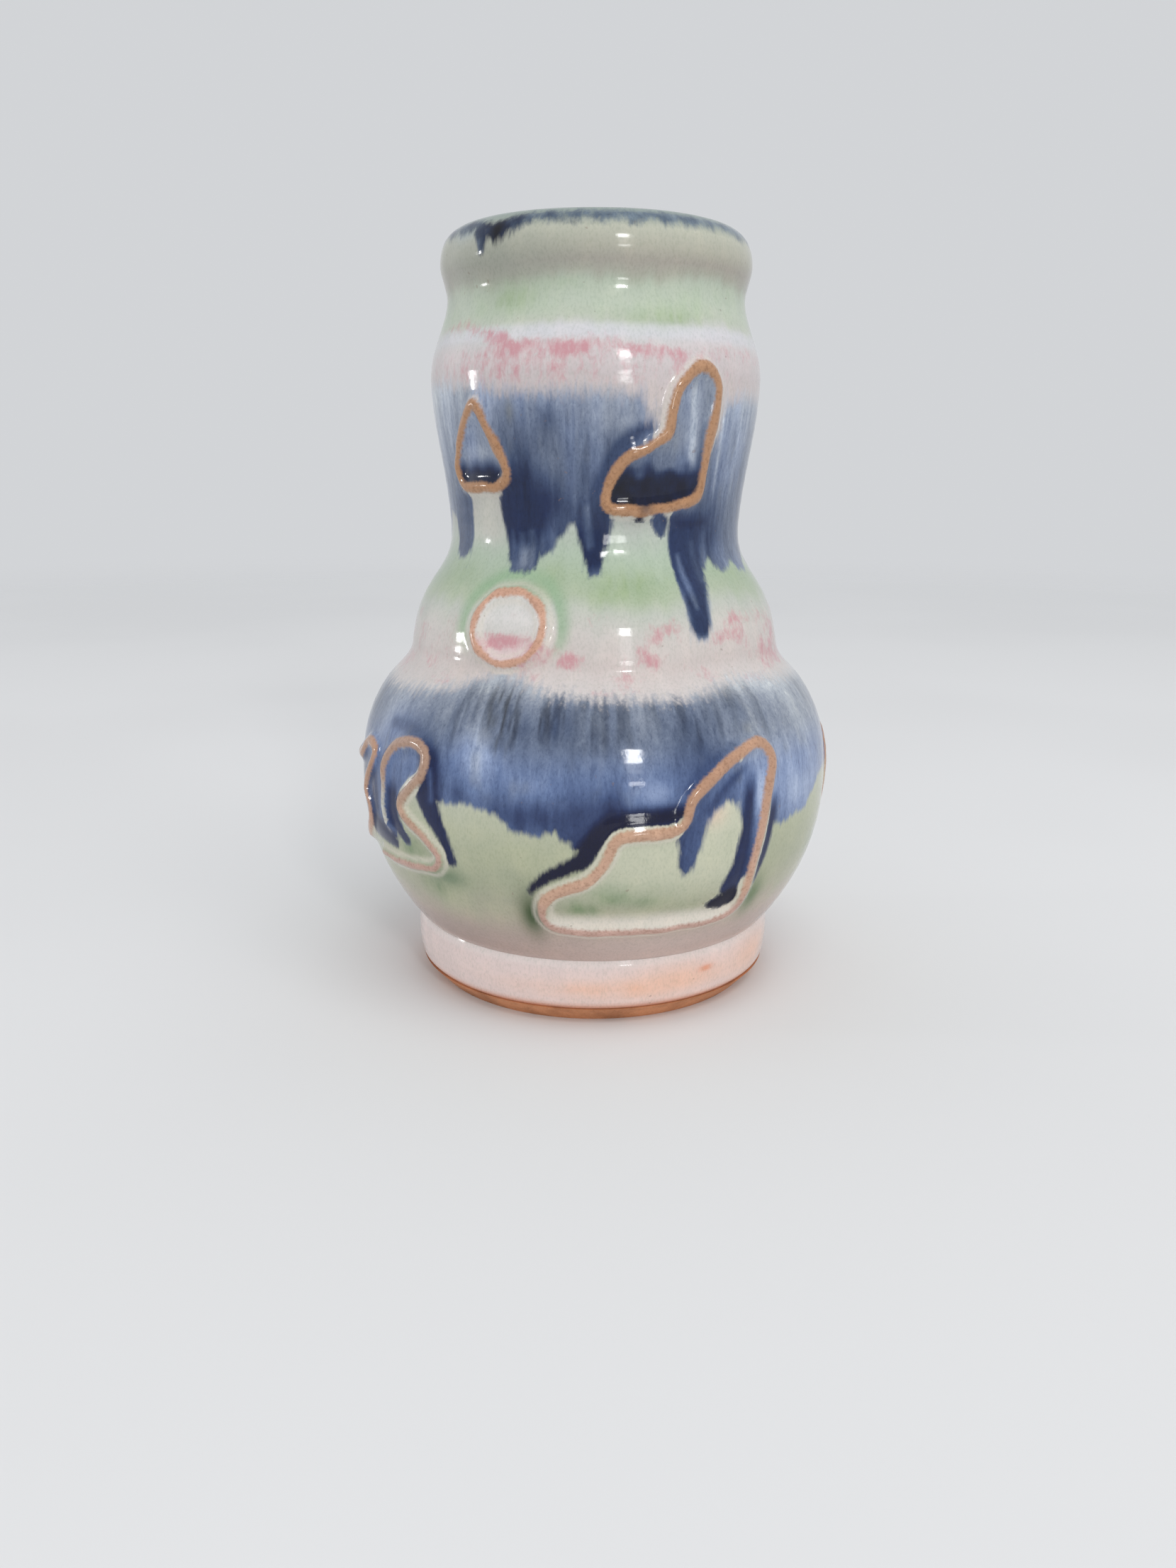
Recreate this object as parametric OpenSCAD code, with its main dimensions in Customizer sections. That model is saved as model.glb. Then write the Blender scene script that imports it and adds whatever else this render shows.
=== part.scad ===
// Bud vase: a thrown stoneware body with raised slip ridges under coats of glaze.
// Millimetres, +Z up. The origin is the centre of the foot, on the surface it stands on.
// Heights and radii of the silhouette are those of the glazed surface.

/* [Silhouette heights] */
// Overall height, from the table to the crest of the lip
vase_h = 140; // [138:0.5:146]
// Height of the widest part of the lip
lip_z = 134; // [132:0.5:136]
// Height of the groove under the lip
groove_z = 128.6; // [127:0.2:130]
// Height of the fullest part of the upper body
bulge_z = 115; // [110:1:120]
// Height of the narrowest part of the neck
waist_z = 87; // [85:1:92]
// Height where the neck starts to draw in
neck_z = 80; // [77:0.5:82]
// Upper edge of the shallow shelf on the shoulder
shelf_top_z = 71.5; // [70:0.5:74]
// Lower edge of that shelf
shelf_z = 67.5; // [66:0.5:69]
// Height where the belly turns in to meet the shelf
shoulder_z = 63.5; // [60:0.5:65]
// Height of the fullest part of the belly
belly_z = 40; // [36:1:46]
// Height of the foot band
foot_h = 12.8; // [11:0.2:14]
// Height of the bare bevel under the foot band
bevel_h = 3.2; // [2:0.2:4]

/* [Silhouette radii] */
// Radius at the crest of the lip
crest_r = 24.3; // [23.5:0.1:25]
// Widest radius of the lip
lip_r = 28.4; // [27.5:0.1:30]
// Radius in the groove under the lip
groove_r = 27.3; // [26:0.1:28]
// Radius at the fullest part of the upper body
bulge_r = 30.6; // [29:0.1:33]
// Radius at the narrowest part of the neck
waist_r = 27.4; // [25:0.1:29]
// Radius where the neck starts to draw in
neck_r = 30.1; // [29:0.1:31]
// Radius at the upper edge of the shelf
shelf_top_r = 34.5; // [33:0.1:35]
// Radius at the lower edge of the shelf
shelf_r = 35.3; // [35:0.1:36]
// Radius where the belly turns in to meet the shelf
shoulder_r = 36.8; // [36.5:0.1:39]
// Radius at the fullest part of the belly
belly_r = 45.7; // [43:0.1:49]
// Radius where the belly leaves the foot band
foot_top_r = 35.4; // [34.5:0.1:36]
// How far the foot band swells between its edges
foot_swell = 0.5; // [0:0.1:1]
// Radius at the lower edge of the foot band
bevel_r = 35; // [34:0.1:35.5]
// Outer radius of the ring that stands on the table
contact_r = 32; // [30:0.5:33]
// Inner radius of that ring
recess_r = 26; // [22:0.5:28]
// Radius of the mouth at the lip
mouth_r = 20.8; // [19:0.1:21.5]

/* [Walls and coats] */
// Thickness of the glazed wall
wall = 4.6; // [3.6:0.1:5]
// Thickness of the outer glaze
coat = 0.5; // [0.3:0.1:0.8]
// Thickness of the glaze inside
liner = 0.4; // [0.3:0.1:0.8]
// Depth of the hollow under the foot
recess_depth = 2.5; // [1:0.5:4]
// Height of the glazed floor inside
floor_z = 9; // [8:0.5:12]

/* [Raised ridges] */
// Width of a ridge at the clay
ridge_w = 3.2; // [2.4:0.1:3.2]
// How far a ridge stands above the glaze
ridge_h = 1.1; // [0.6:0.1:1.6]

/* [Hidden] */
$fn = 96;

// Stations up the glazed silhouette: height, radius, and how fast the radius grows with height
STATIONS = [
    [foot_h, foot_top_r, 0.8],
    [belly_z, belly_r, 0],
    [shoulder_z, shoulder_r, -1.05],
    [shelf_z, shelf_r, -0.25],
    [shelf_top_z, shelf_top_r, -0.27],
    [neck_z, neck_r, -0.75],
    [waist_z, waist_r, 0],
    [bulge_z, bulge_r, 0],
    [groove_z, groove_r, 0],
    [lip_z, lip_r, 0]
];
span_step = 3.5;        // longest straight piece of the silhouette
lip_steps = 6;          // straight pieces in a quarter of the lip
band_steps = 5;         // straight pieces in the foot band
corner_steps = 5;       // straight pieces where the wall meets the floor inside
inner_low_z = 21;       // the wall inside follows the silhouette from here
inner_high_z = 126;     // to here
floor_flat_r = 24;      // flat part of the floor inside
bead = 1;               // bevel inside the ring that stands on the table
cutter_start = 12;      // ridge outlines are cut from this radius
cutter_end = 60;        // to this radius

// Cubic between two stations
function hermite(a, b, z) =
    let (s = b[0] - a[0], t = (z - a[0]) / s, t2 = t * t, t3 = t2 * t)
    (2 * t3 - 3 * t2 + 1) * a[1] + (t3 - 2 * t2 + t) * s * a[2]
    + (3 * t2 - 2 * t3) * b[1] + (t3 - t2) * s * b[2];

function radius_at(z) =
    let (i = max([for (k = [0 : len(STATIONS) - 2]) if (STATIONS[k][0] <= z) k]))
    hermite(STATIONS[i], STATIONS[i + 1], z);

// Heights at which the silhouette is sampled, the same for every coat, so that they meet
LEVELS = concat(
    [for (i = [0 : len(STATIONS) - 2])
        let (a = STATIONS[i][0], b = STATIONS[i + 1][0], n = ceil((b - a) / span_step))
        for (k = [0 : n - 1]) a + (b - a) * k / n],
    [lip_z]
);

function levels(low, high) =
    concat([low], [for (z = LEVELS) if (z > low + 0.01 && z < high - 0.01) z], [high]);

function side(low, high, grow) = [for (z = levels(low, high)) [level_radius(z) + grow, z]];

// Radius of the sampled silhouette, straight between two levels
function level_radius(z) =
    let (i = max([for (k = [0 : len(LEVELS) - 2]) if (LEVELS[k] <= z + 0.001) k]),
         a = LEVELS[i], b = LEVELS[i + 1])
    radius_at_end(a) + (radius_at_end(b) - radius_at_end(a)) * (z - a) / (b - a);

// Radius at one of the levels, the last of which is the top of the stations
function radius_at_end(z) = z >= lip_z - 0.001 ? lip_r : radius_at(z);

function reversed(p) = [for (i = [len(p) - 1 : -1 : 0]) p[i]];

// Half round of the lip, from outside over the crest to inside, drawn in by a coat
function lip(outside, inside) = concat(
    [for (i = [0 : lip_steps])
        let (t = 90 * i / lip_steps)
        [crest_r + (lip_r - outside - crest_r) * cos(t), lip_z + (vase_h - outside - lip_z) * sin(t)]],
    [for (i = [1 : lip_steps])
        let (t = 90 * i / lip_steps)
        [crest_r - (crest_r - mouth_r - inside) * sin(t), lip_z + (vase_h - outside - lip_z) * cos(t)]]
);

// Foot band, from the bevel up to the belly
function band(grow) = [for (i = [0 : band_steps])
    let (t = i / band_steps)
    [bevel_r + (foot_top_r - bevel_r) * t + foot_swell * sin(180 * t) + grow,
     bevel_h + (foot_h - bevel_h) * t]];

// Inside of the vase, from the mouth down to the floor, grown into the wall by a coat
function inside(grow) = concat(
    reversed(side(inner_low_z, inner_high_z, grow - wall)),
    [for (i = [1 : corner_steps])
        let (t = 90 * i / corner_steps)
        [floor_flat_r + (level_radius(inner_low_z) - wall + grow - floor_flat_r) * cos(t),
         inner_low_z - (inner_low_z - floor_z + grow) * sin(t)]],
    [[0, floor_z - grow]]
);

module turned(outline) rotate_extrude() polygon(outline);

// Smooth curves through a ridge's points
function bend(a, b, c, d, t) =
    (2 * b + (c - a) * t + (2 * a - 5 * b + 4 * c - d) * t * t + (3 * b - a - 3 * c + d) * t * t * t) / 2;

function closed_curve(p, n) =
    [for (i = [0 : len(p) - 1], k = [0 : n - 1])
        bend(p[(i + len(p) - 1) % len(p)], p[i], p[(i + 1) % len(p)], p[(i + 2) % len(p)], k / n)];

function open_curve(p, n) = concat(
    [for (i = [0 : len(p) - 2], k = [0 : n - 1])
        bend(p[max(i - 1, 0)], p[i], p[i + 1], p[min(i + 2, len(p) - 1)], k / n)],
    [p[len(p) - 1]]
);

function unit(v) = v / norm(v);

// Points beside a curve, at a distance to its right
function beside(c, d, closed) =
    [for (i = [0 : len(c) - 1])
        let (last = len(c) - 1,
             a = c[closed ? (i + last) % (last + 1) : max(i - 1, 0)],
             b = c[closed ? (i + 1) % (last + 1) : min(i + 1, last)],
             u = unit(b - a))
        c[i] + d * [u[1], -u[0]]];

module closed_ridge(points, n = 2) {
    c = closed_curve(points, n);
    difference() {
        polygon(beside(c, -ridge_w / 2, true));
        polygon(beside(c, ridge_w / 2, true));
    }
}

module open_ridge(points, n = 2) {
    c = open_curve(points, n);
    polygon(concat(beside(c, -ridge_w / 2, false), reversed(beside(c, ridge_w / 2, false))));
}

// Outline drawn on a plane that faces outwards at an angle round the vase, from the front
module facing(angle)
    rotate([0, 0, angle]) rotate([90, 0, 0])
        translate([0, 0, cutter_start]) linear_extrude(height = cutter_end - cutter_start) children();

// A ridge lies on the clay and stands proud of the glaze. low and high are heights that clear its
// outline below and above.
module raised(low, high)
    intersection() {
        turned(concat(side(low, high, -coat), reversed(side(low, high, ridge_h))));
        children();
    }

// Ridge outlines. Points are [across, height] on the plane that each one faces; all run clockwise.
module triangle_outline() facing(-44) closed_ridge([
    [0.4, 109.2], [2.9, 106], [4.6, 102.5], [6.2, 98], [4, 95.9], [-0.5, 95.5],
    [-4.6, 95.8], [-6.4, 98.5], [-5.2, 102], [-3, 105.6]
]);

module boot_outline() facing(22) closed_ridge([
    [6.8, 115.3], [10.2, 113], [10.2, 108.5], [9.3, 103.5], [8.5, 98], [7.6, 94],
    [2.5, 92.5], [-3, 91.9], [-8.2, 92.2], [-8.8, 95.3], [-6.4, 100], [-2.2, 102.5],
    [0.7, 104.6], [1.4, 108.6], [2.9, 112.6]
]);

module ring_outline() facing(-26) closed_ridge([
    for (t = [0 : 30 : 330]) [6.7 * sin(t), 72 + 5.9 * cos(t)]
]);

module hill_outline() facing(16) closed_ridge([
    [17, 53], [20.1, 50.6], [19.6, 46], [18.4, 40], [17.1, 33], [15.8, 25.5], [12.5, 21.8],
    [4, 21.3], [-6.5, 20.9], [-15.5, 21.3], [-19.6, 24], [-19.2, 28.3], [-14, 31], [-11, 34.4],
    [-8.6, 39], [-2, 39.7], [2.4, 41], [4.2, 45.3], [9.8, 49.8]
]);

module loop_outline() facing(-55) open_ridge([
    [5, 34], [1.2, 35.4], [-0.6, 38.5], [-0.4, 43], [-0.8, 47], [2, 50.5], [7, 52], [11, 50.7],
    [11, 47], [7.4, 43.4], [5, 40.6], [7.6, 38], [11.6, 35.8], [14.4, 33.2], [12.6, 30.6],
    [8, 29.7], [2, 29.3], [-4.5, 29.2]
]);

module side_outline() facing(-84) closed_ridge([
    [1.5, 45], [7.4, 46], [11.8, 48.8], [14.6, 49.7], [16.8, 48.4], [15.8, 45.6], [13.4, 42.8],
    [12.2, 40.2], [14.6, 37.4], [12.4, 33.3], [6, 29.6], [-4, 28.6], [-12, 30.5], [-14, 36],
    [-11, 41.6], [-5, 44.2]
]);

module back_leaf_outline() facing(112) closed_ridge([
    [0.5, 114.6], [4.6, 110.5], [5.6, 104.5], [3.4, 98.6], [-0.6, 94.6], [-5, 98], [-6.2, 104], [-3.8, 110.6]
]);

module back_triangle_outline() facing(192) closed_ridge([
    [-0.6, 111.4], [3.6, 108.2], [6.6, 103.4], [8.4, 98], [5, 95.6], [-1.5, 95.2],
    [-7.4, 95.6], [-8.6, 98.4], [-6.4, 103], [-4, 107.6]
]);

module back_ring_outline() facing(150) closed_ridge([
    for (t = [0 : 30 : 330]) [6.4 * sin(t), 72.4 + 5.7 * cos(t)]
]);

module back_hill_outline() facing(112) closed_ridge([
    [-15, 49], [-9, 45], [-2, 41], [4.5, 37.5], [9, 34], [15.5, 32.6], [18.6, 28.4], [16, 23.4],
    [7, 21.6], [-5, 21.6], [-13, 22.6], [-17.2, 28], [-18.4, 36], [-18.8, 44.5]
]);

module back_arch_outline() facing(190) closed_ridge([
    [-1, 52.6], [5, 50.5], [7.4, 45], [6.8, 38], [9.8, 33], [12.2, 27.5], [6, 24.4], [-4, 24],
    [-12, 26], [-10.6, 31.6], [-7.2, 37], [-8.2, 44], [-6.6, 50]
]);

module ridge_outlines() {
    triangle_outline();
    boot_outline();
    ring_outline();
    hill_outline();
    loop_outline();
    side_outline();
    back_leaf_outline();
    back_triangle_outline();
    back_ring_outline();
    back_hill_outline();
    back_arch_outline();
}

module clay_body()
    color([0.55, 0.40, 0.30])
    turned(concat(
        [[0, recess_depth], [recess_r, recess_depth], [recess_r + bead, 0], [contact_r, 0],
         [bevel_r, bevel_h]],
        band(-coat),
        side(foot_h, lip_z, -coat),
        lip(coat, liner),
        inside(liner)
    ));

module outer_glaze()
    color([0.70, 0.74, 0.78])
    difference() {
        turned(concat(side(foot_h, lip_z, 0), reversed(side(foot_h, lip_z, -coat))));
        ridge_outlines();
    }

module foot_glaze()
    color([0.92, 0.80, 0.74])
    turned(concat(band(0), reversed(band(-coat))));

module rim_glaze()
    color([0.36, 0.40, 0.48])
    turned(concat(lip(0, 0), reversed(lip(coat, liner))));

module liner_glaze()
    color([0.80, 0.80, 0.74])
    turned(concat([[mouth_r, lip_z]], inside(0), reversed(inside(liner)), [[mouth_r + liner, lip_z]]));

module ridge_colour() color([0.69, 0.49, 0.35]) children();

module triangle_ridge() ridge_colour() raised(92, 114) triangle_outline();
module boot_ridge() ridge_colour() raised(88, 120) boot_outline();
module ring_ridge() ridge_colour() raised(63, 82) ring_outline();
module hill_ridge() ridge_colour() raised(17, 57) hill_outline();
module loop_ridge() ridge_colour() raised(26, 56) loop_outline();
module side_ridge() ridge_colour() raised(25, 58) side_outline();
module back_leaf_ridge() ridge_colour() raised(91, 118) back_leaf_outline();
module back_triangle_ridge() ridge_colour() raised(92, 115) back_triangle_outline();
module back_ring_ridge() ridge_colour() raised(63, 82) back_ring_outline();
module back_hill_ridge() ridge_colour() raised(18, 53) back_hill_outline();
module back_arch_ridge() ridge_colour() raised(20, 56) back_arch_outline();

clay_body();
outer_glaze();
foot_glaze();
rim_glaze();
liner_glaze();
triangle_ridge();
boot_ridge();
ring_ridge();
hill_ridge();
loop_ridge();
side_ridge();
back_leaf_ridge();
back_triangle_ridge();
back_ring_ridge();
back_hill_ridge();
back_arch_ridge();
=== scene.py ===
"""Looks of the ceramic bud vase: thrown clay, slip ridges and banded glazes that ran in the kiln.

Lengths are millimetres and angles are degrees round the vase, from the front (-Y) towards +X,
until a mesh is made. Colours are 0-255 as they look on the finished pot, under its own gloss.
"""
import math

import bpy
import numpy as np
from mathutils import Matrix


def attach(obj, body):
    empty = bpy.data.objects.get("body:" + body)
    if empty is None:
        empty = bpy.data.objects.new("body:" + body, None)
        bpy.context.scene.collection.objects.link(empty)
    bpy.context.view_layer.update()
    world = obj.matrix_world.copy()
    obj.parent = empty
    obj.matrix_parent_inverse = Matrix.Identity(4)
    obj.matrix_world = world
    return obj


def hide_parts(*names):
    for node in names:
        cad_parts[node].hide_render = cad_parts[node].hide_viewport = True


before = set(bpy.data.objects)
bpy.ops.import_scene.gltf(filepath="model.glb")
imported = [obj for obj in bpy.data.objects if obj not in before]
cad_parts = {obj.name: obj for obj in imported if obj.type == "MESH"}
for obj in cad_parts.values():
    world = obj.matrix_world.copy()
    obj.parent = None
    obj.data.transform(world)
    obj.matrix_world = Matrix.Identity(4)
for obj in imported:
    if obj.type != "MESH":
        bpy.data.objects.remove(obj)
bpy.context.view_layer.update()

# ---------------------------------------------------------------- sizes of the mesh
MM = 0.001
COLUMNS = 600            # vertices in a ring
ROW_STEP = 0.5           # distance between rings on the outside
LINER_STEP = 1.6         # distance between rings inside
RING_MIN = 24            # a CAD ring has at least this many vertices
FINE_STEP = 0.05         # spacing of the outline that the rings are picked from
COAT = 0.5               # thickness of the outer glaze
LINER_COAT = 0.4         # thickness of the glaze inside

# ---------------------------------------------------------------- the slip ridges
RIDGE_CUT = 1.6          # half width of a ridge piece, as the CAD ridges have
RIDGE_RISE = 0.98        # how far a ridge stands proud
RIDGE_HALF = 1.3         # half width of the bump
RIDGE_SHARP = 2.2        # how full the bump is
CREST_HALF = 0.92        # half width of the brown that shows along its crest
WOBBLE = 0.12            # how far the hand strayed from the drawn outline

RIDGE_REACH = 75         # a ridge stays within this angle of the way it faces
RIDGE_MARGIN = 8         # and is felt this far outside its outline's box


def oval(wide, tall, height):
    """Points round an oval, given its half width, half height and middle"""
    turns = [math.radians(t) for t in range(0, 360, 30)]
    return [(wide * math.sin(t), height + tall * math.cos(t)) for t in turns]


# Outlines as (across, height) on a plane that faces outwards: the angle round the vase that it
# faces, whether the outline is closed, and its points
RIDGES = {
    "triangle_ridge": (-44, True, [
        (0.4, 109.2), (2.9, 106), (4.6, 102.5), (6.2, 98), (4, 95.9), (-0.5, 95.5),
        (-4.6, 95.8), (-6.4, 98.5), (-5.2, 102), (-3, 105.6)]),
    "boot_ridge": (22, True, [
        (6.8, 115.3), (10.2, 113), (10.2, 108.5), (9.3, 103.5), (8.5, 98), (7.6, 94),
        (2.5, 92.5), (-3, 91.9), (-8.2, 92.2), (-8.8, 95.3), (-6.4, 100), (-2.2, 102.5),
        (0.7, 104.6), (1.4, 108.6), (2.9, 112.6)]),
    "ring_ridge": (-26, True, oval(6.7, 5.9, 72)),
    "hill_ridge": (16, True, [
        (17, 53), (20.1, 50.6), (19.6, 46), (18.4, 40), (17.1, 33), (15.8, 25.5), (12.5, 21.8),
        (4, 21.3), (-6.5, 20.9), (-15.5, 21.3), (-19.6, 24), (-19.2, 28.3), (-14, 31),
        (-11, 34.4), (-8.6, 39), (-2, 39.7), (2.4, 41), (4.2, 45.3), (9.8, 49.8)]),
    "loop_ridge": (-55, False, [
        (5, 34), (1.2, 35.4), (-0.6, 38.5), (-0.4, 43), (-0.8, 47), (2, 50.5), (7, 52),
        (11, 50.7), (11, 47), (7.4, 43.4), (5, 40.6), (7.6, 38), (11.6, 35.8), (14.4, 33.2),
        (12.6, 30.6), (8, 29.7), (2, 29.3), (-4.5, 29.2)]),
    "side_ridge": (-84, True, [
        (1.5, 45), (7.4, 46), (11.8, 48.8), (14.6, 49.7), (16.8, 48.4), (15.8, 45.6),
        (13.4, 42.8), (12.2, 40.2), (14.6, 37.4), (12.4, 33.3), (6, 29.6), (-4, 28.6),
        (-12, 30.5), (-14, 36), (-11, 41.6), (-5, 44.2)]),
    "back_leaf_ridge": (112, True, [
        (0.5, 114.6), (4.6, 110.5), (5.6, 104.5), (3.4, 98.6), (-0.6, 94.6), (-5, 98),
        (-6.2, 104), (-3.8, 110.6)]),
    "back_triangle_ridge": (192, True, [
        (-0.6, 111.4), (3.6, 108.2), (6.6, 103.4), (8.4, 98), (5, 95.6), (-1.5, 95.2),
        (-7.4, 95.6), (-8.6, 98.4), (-6.4, 103), (-4, 107.6)]),
    "back_ring_ridge": (150, True, oval(6.4, 5.7, 72.4)),
    "back_hill_ridge": (112, True, [
        (-15, 49), (-9, 45), (-2, 41), (4.5, 37.5), (9, 34), (15.5, 32.6), (18.6, 28.4),
        (16, 23.4), (7, 21.6), (-5, 21.6), (-13, 22.6), (-17.2, 28), (-18.4, 36),
        (-18.8, 44.5)]),
    "back_arch_ridge": (190, True, [
        (-1, 52.6), (5, 50.5), (7.4, 45), (6.8, 38), (9.8, 33), (12.2, 27.5), (6, 24.4),
        (-4, 24), (-12, 26), (-10.6, 31.6), (-7.2, 37), (-8.2, 44), (-6.6, 50)]),
}
RIDGE_NAMES = list(RIDGES)


# ---------------------------------------------------------------- small maths
def smooth(low, high, x):
    """0 below low, 1 above high, and a smooth step between; low may be the larger"""
    t = np.clip((x - low) / (high - low), 0, 1)
    return t * t * (3 - 2 * t)


def bell(x, width):
    """1 where x is 0, fading away on both sides of it"""
    return np.exp(-(x / width) ** 2)


def unit(vectors):
    """Vectors brought to length 1"""
    return vectors / np.linalg.norm(vectors, axis=-1, keepdims=True)


def turn(a):
    """An angle brought into -180 to 180"""
    return (a + 180) % 360 - 180


def mix(a, b, t):
    """From a to b as t goes from 0 to 1"""
    return a + (b - a) * t


def spline(points, step):
    """Natural cubic spline through points, sampled about every step along its chords"""
    p = np.asarray(points, float)
    n = len(p)
    t = np.r_[0, np.cumsum(np.linalg.norm(np.diff(p, axis=0), axis=1))]
    h = np.diff(t)
    a, b = np.eye(n), np.zeros_like(p)
    for i in range(1, n - 1):
        a[i, i - 1:i + 2] = h[i - 1], 2 * (h[i - 1] + h[i]), h[i]
        b[i] = 6 * ((p[i + 1] - p[i]) / h[i] - (p[i] - p[i - 1]) / h[i - 1])
    m = np.linalg.solve(a, b)
    s = np.linspace(0, t[-1], round(t[-1] / step) + 1)
    i = np.clip(np.searchsorted(t, s, side="right") - 1, 0, n - 2)
    w, v, g = (s - t[i])[:, None], (t[i + 1] - s)[:, None], h[i][:, None]
    bend = m[i] * v ** 3 + m[i + 1] * w ** 3
    return bend / (6 * g) + (p[i] / g - m[i] * g / 6) * v + (p[i + 1] / g - m[i + 1] * g / 6) * w


def round_curve(points, closed, steps=8):
    """Catmull-Rom curve through points"""
    p = np.asarray(points, float)
    n = len(p)
    spans = n if closed else n - 1

    def at(i):
        return p[i % n] if closed else p[min(max(i, 0), n - 1)]

    out = []
    for i in range(spans):
        a, b, c, d = at(i - 1), at(i), at(i + 1), at(i + 2)
        for t in np.arange(steps) / steps:
            out.append((2 * b + (c - a) * t + (2 * a - 5 * b + 4 * c - d) * t ** 2
                        + (3 * b - a - 3 * c + d) * t ** 3) / 2)
    return np.array(out if closed else out + [p[-1]])


def waves(a, seed, low, high, count):
    """Random sum of count waves that go round the vase low to high times; about -1 to 1"""
    rng = np.random.default_rng(seed)
    total = np.zeros_like(a)
    for k in np.linspace(low, high, count).astype(int):
        total += rng.normal() * np.cos(np.radians(a) * k + rng.uniform(0, 2 * math.pi))
    return total / math.sqrt(count)


LATTICE_ROWS = 900       # rows of a noise lattice before it repeats


def lattice_noise(a, s, seed, wide, tall):
    """Random numbers on a lattice of angle and height, joined smoothly"""
    rng = np.random.default_rng(seed)
    around = max(3, round(360 / wide))
    lattice = rng.random((LATTICE_ROWS, around))
    x, y = (a % 360) / 360 * around, np.abs(s) / tall % (LATTICE_ROWS - 1)
    x0, y0 = np.floor(x).astype(int), np.floor(y).astype(int)
    fx, fy = x - x0, y - y0
    fx, fy = fx * fx * (3 - 2 * fx), fy * fy * (3 - 2 * fy)
    x1 = (x0 + 1) % around
    x0 = x0 % around
    top = mix(lattice[y0, x0], lattice[y0, x1], fx)
    return mix(top, mix(lattice[y0 + 1, x0], lattice[y0 + 1, x1], fx), fy)


def cloud(a, s, seed, wide, tall):
    """Smooth random patches about wide degrees by tall mm, from 0 to 1"""
    large = lattice_noise(a, s, seed, wide, tall)
    return 0.62 * large + 0.38 * lattice_noise(a, s + 3.7, seed + 500, wide * 0.53, tall * 0.53)


GLOSS_VEIL = 0.016       # light that the gloss adds to every colour
DARKEST = 0.0015         # no glaze is darker than this
BRIGHTNESS = 0.86        # brightness of a pure white body in this light


def seen(r, g, b):
    """Body colour of a glaze that looks like this once its gloss is on it"""
    c = np.array([r, g, b]) / 255
    c = np.where(c <= 0.04045, c / 12.92, ((c + 0.055) / 1.055) ** 2.4)
    return np.maximum(c - GLOSS_VEIL, DARKEST) / BRIGHTNESS


# ---------------------------------------------------------------- outlines from the CAD model
def cad_rings(node):
    """Radius and height of each ring of vertices of a turned CAD node"""
    co = np.array([v.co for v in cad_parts[node].data.vertices]) / MM
    rz = np.column_stack([np.hypot(co[:, 0], co[:, 1]), co[:, 2]])
    _, which, count = np.unique(np.round(rz, 2), axis=0, return_inverse=True, return_counts=True)
    which = which.ravel()
    mean = np.column_stack([np.bincount(which, rz[:, i]) for i in (0, 1)]) / count[:, None]
    return mean[count >= RING_MIN]


def corners(line):
    """The points where an outline bends; those that lie on a straight piece go"""
    d = np.diff(line, axis=0)
    heading = np.arctan2(d[:, 1], d[:, 0])
    bends = np.abs(np.diff(heading)) > 0.002
    return line[np.r_[True, bends, True]]


def outermost(node):
    """Outline of the outside of a turned CAD node"""
    rings = cad_rings(node)
    heights = np.unique(np.round(rings[:, 1], 2))
    return corners(np.array([max(rings[np.abs(rings[:, 1] - h) < 0.02], key=lambda q: q[0])
                             for h in heights]))


band_line = spline(outermost("foot_glaze"), ROW_STEP)
wall_corners = outermost("outer_glaze")
rim = cad_rings("rim_glaze")
LIP_Z = rim[:, 1].min()
TOP = rim[:, 1].max()
LIP_R, MOUTH_R = rim[:, 0].max(), rim[:, 0].min()
CREST_R = rim[rim[:, 1].argmax(), 0]
FOOT_TOP = wall_corners[0, 1]
floor = cad_rings("liner_glaze")
FLOOR_Z = floor[np.abs(floor[:, 0] - floor[floor[:, 1].argmin(), 0]) < 0.02, 1].max()
FLOOR_R = floor[floor[:, 1].argmin(), 0]
WALL = 4.6               # thickness of the wall, glaze and all
INNER_HIGH = 127         # above this height the throat turns out to the lip
INNER_LOW = 21           # below this height the wall inside turns in to the floor

quarter = np.radians(np.arange(15, 90, 15))
lip_points = [(CREST_R + (LIP_R - CREST_R) * math.cos(t), LIP_Z + (TOP - LIP_Z) * math.sin(t))
              for t in quarter] + [(CREST_R, TOP)]
lip_points += [(CREST_R - (CREST_R - MOUTH_R) * math.sin(t), LIP_Z + (TOP - LIP_Z) * math.cos(t))
               for t in quarter] + [(MOUTH_R, LIP_Z)]
inside = [(r - WALL, z) for r, z in wall_corners[::-1] if INNER_LOW < z < INNER_HIGH]
low_r = np.interp(INNER_LOW, wall_corners[:, 1], wall_corners[:, 0]) - WALL
inside += [(FLOOR_R + (low_r - FLOOR_R) * math.cos(t),
            INNER_LOW - (INNER_LOW - FLOOR_Z) * math.sin(t))
           for t in np.radians(np.arange(0, 91, 15))]
inside += [(FLOOR_R * q, FLOOR_Z) for q in (0.66, 0.33, 0)]

whole = spline(np.vstack([wall_corners, lip_points, inside]), FINE_STEP)
crest = whole[:, 1].argmax()
lip_start = np.argmin(np.abs(whole[:crest, 1] - LIP_Z))
lip_end = crest + np.argmin(np.abs(whole[crest:, 1] - LIP_Z))


def rows_between(first, last, step):
    """Evenly spaced indices into the fine outline, step mm apart"""
    count = max(2, round((last - first) * FINE_STEP / step) + 1)
    return np.round(np.linspace(first, last, count)).astype(int)


def normals_of(line):
    """Outward normals of an outline that runs up the outside"""
    d = unit(np.gradient(line, axis=0))
    return np.column_stack([d[:, 1], -d[:, 0]])


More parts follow.
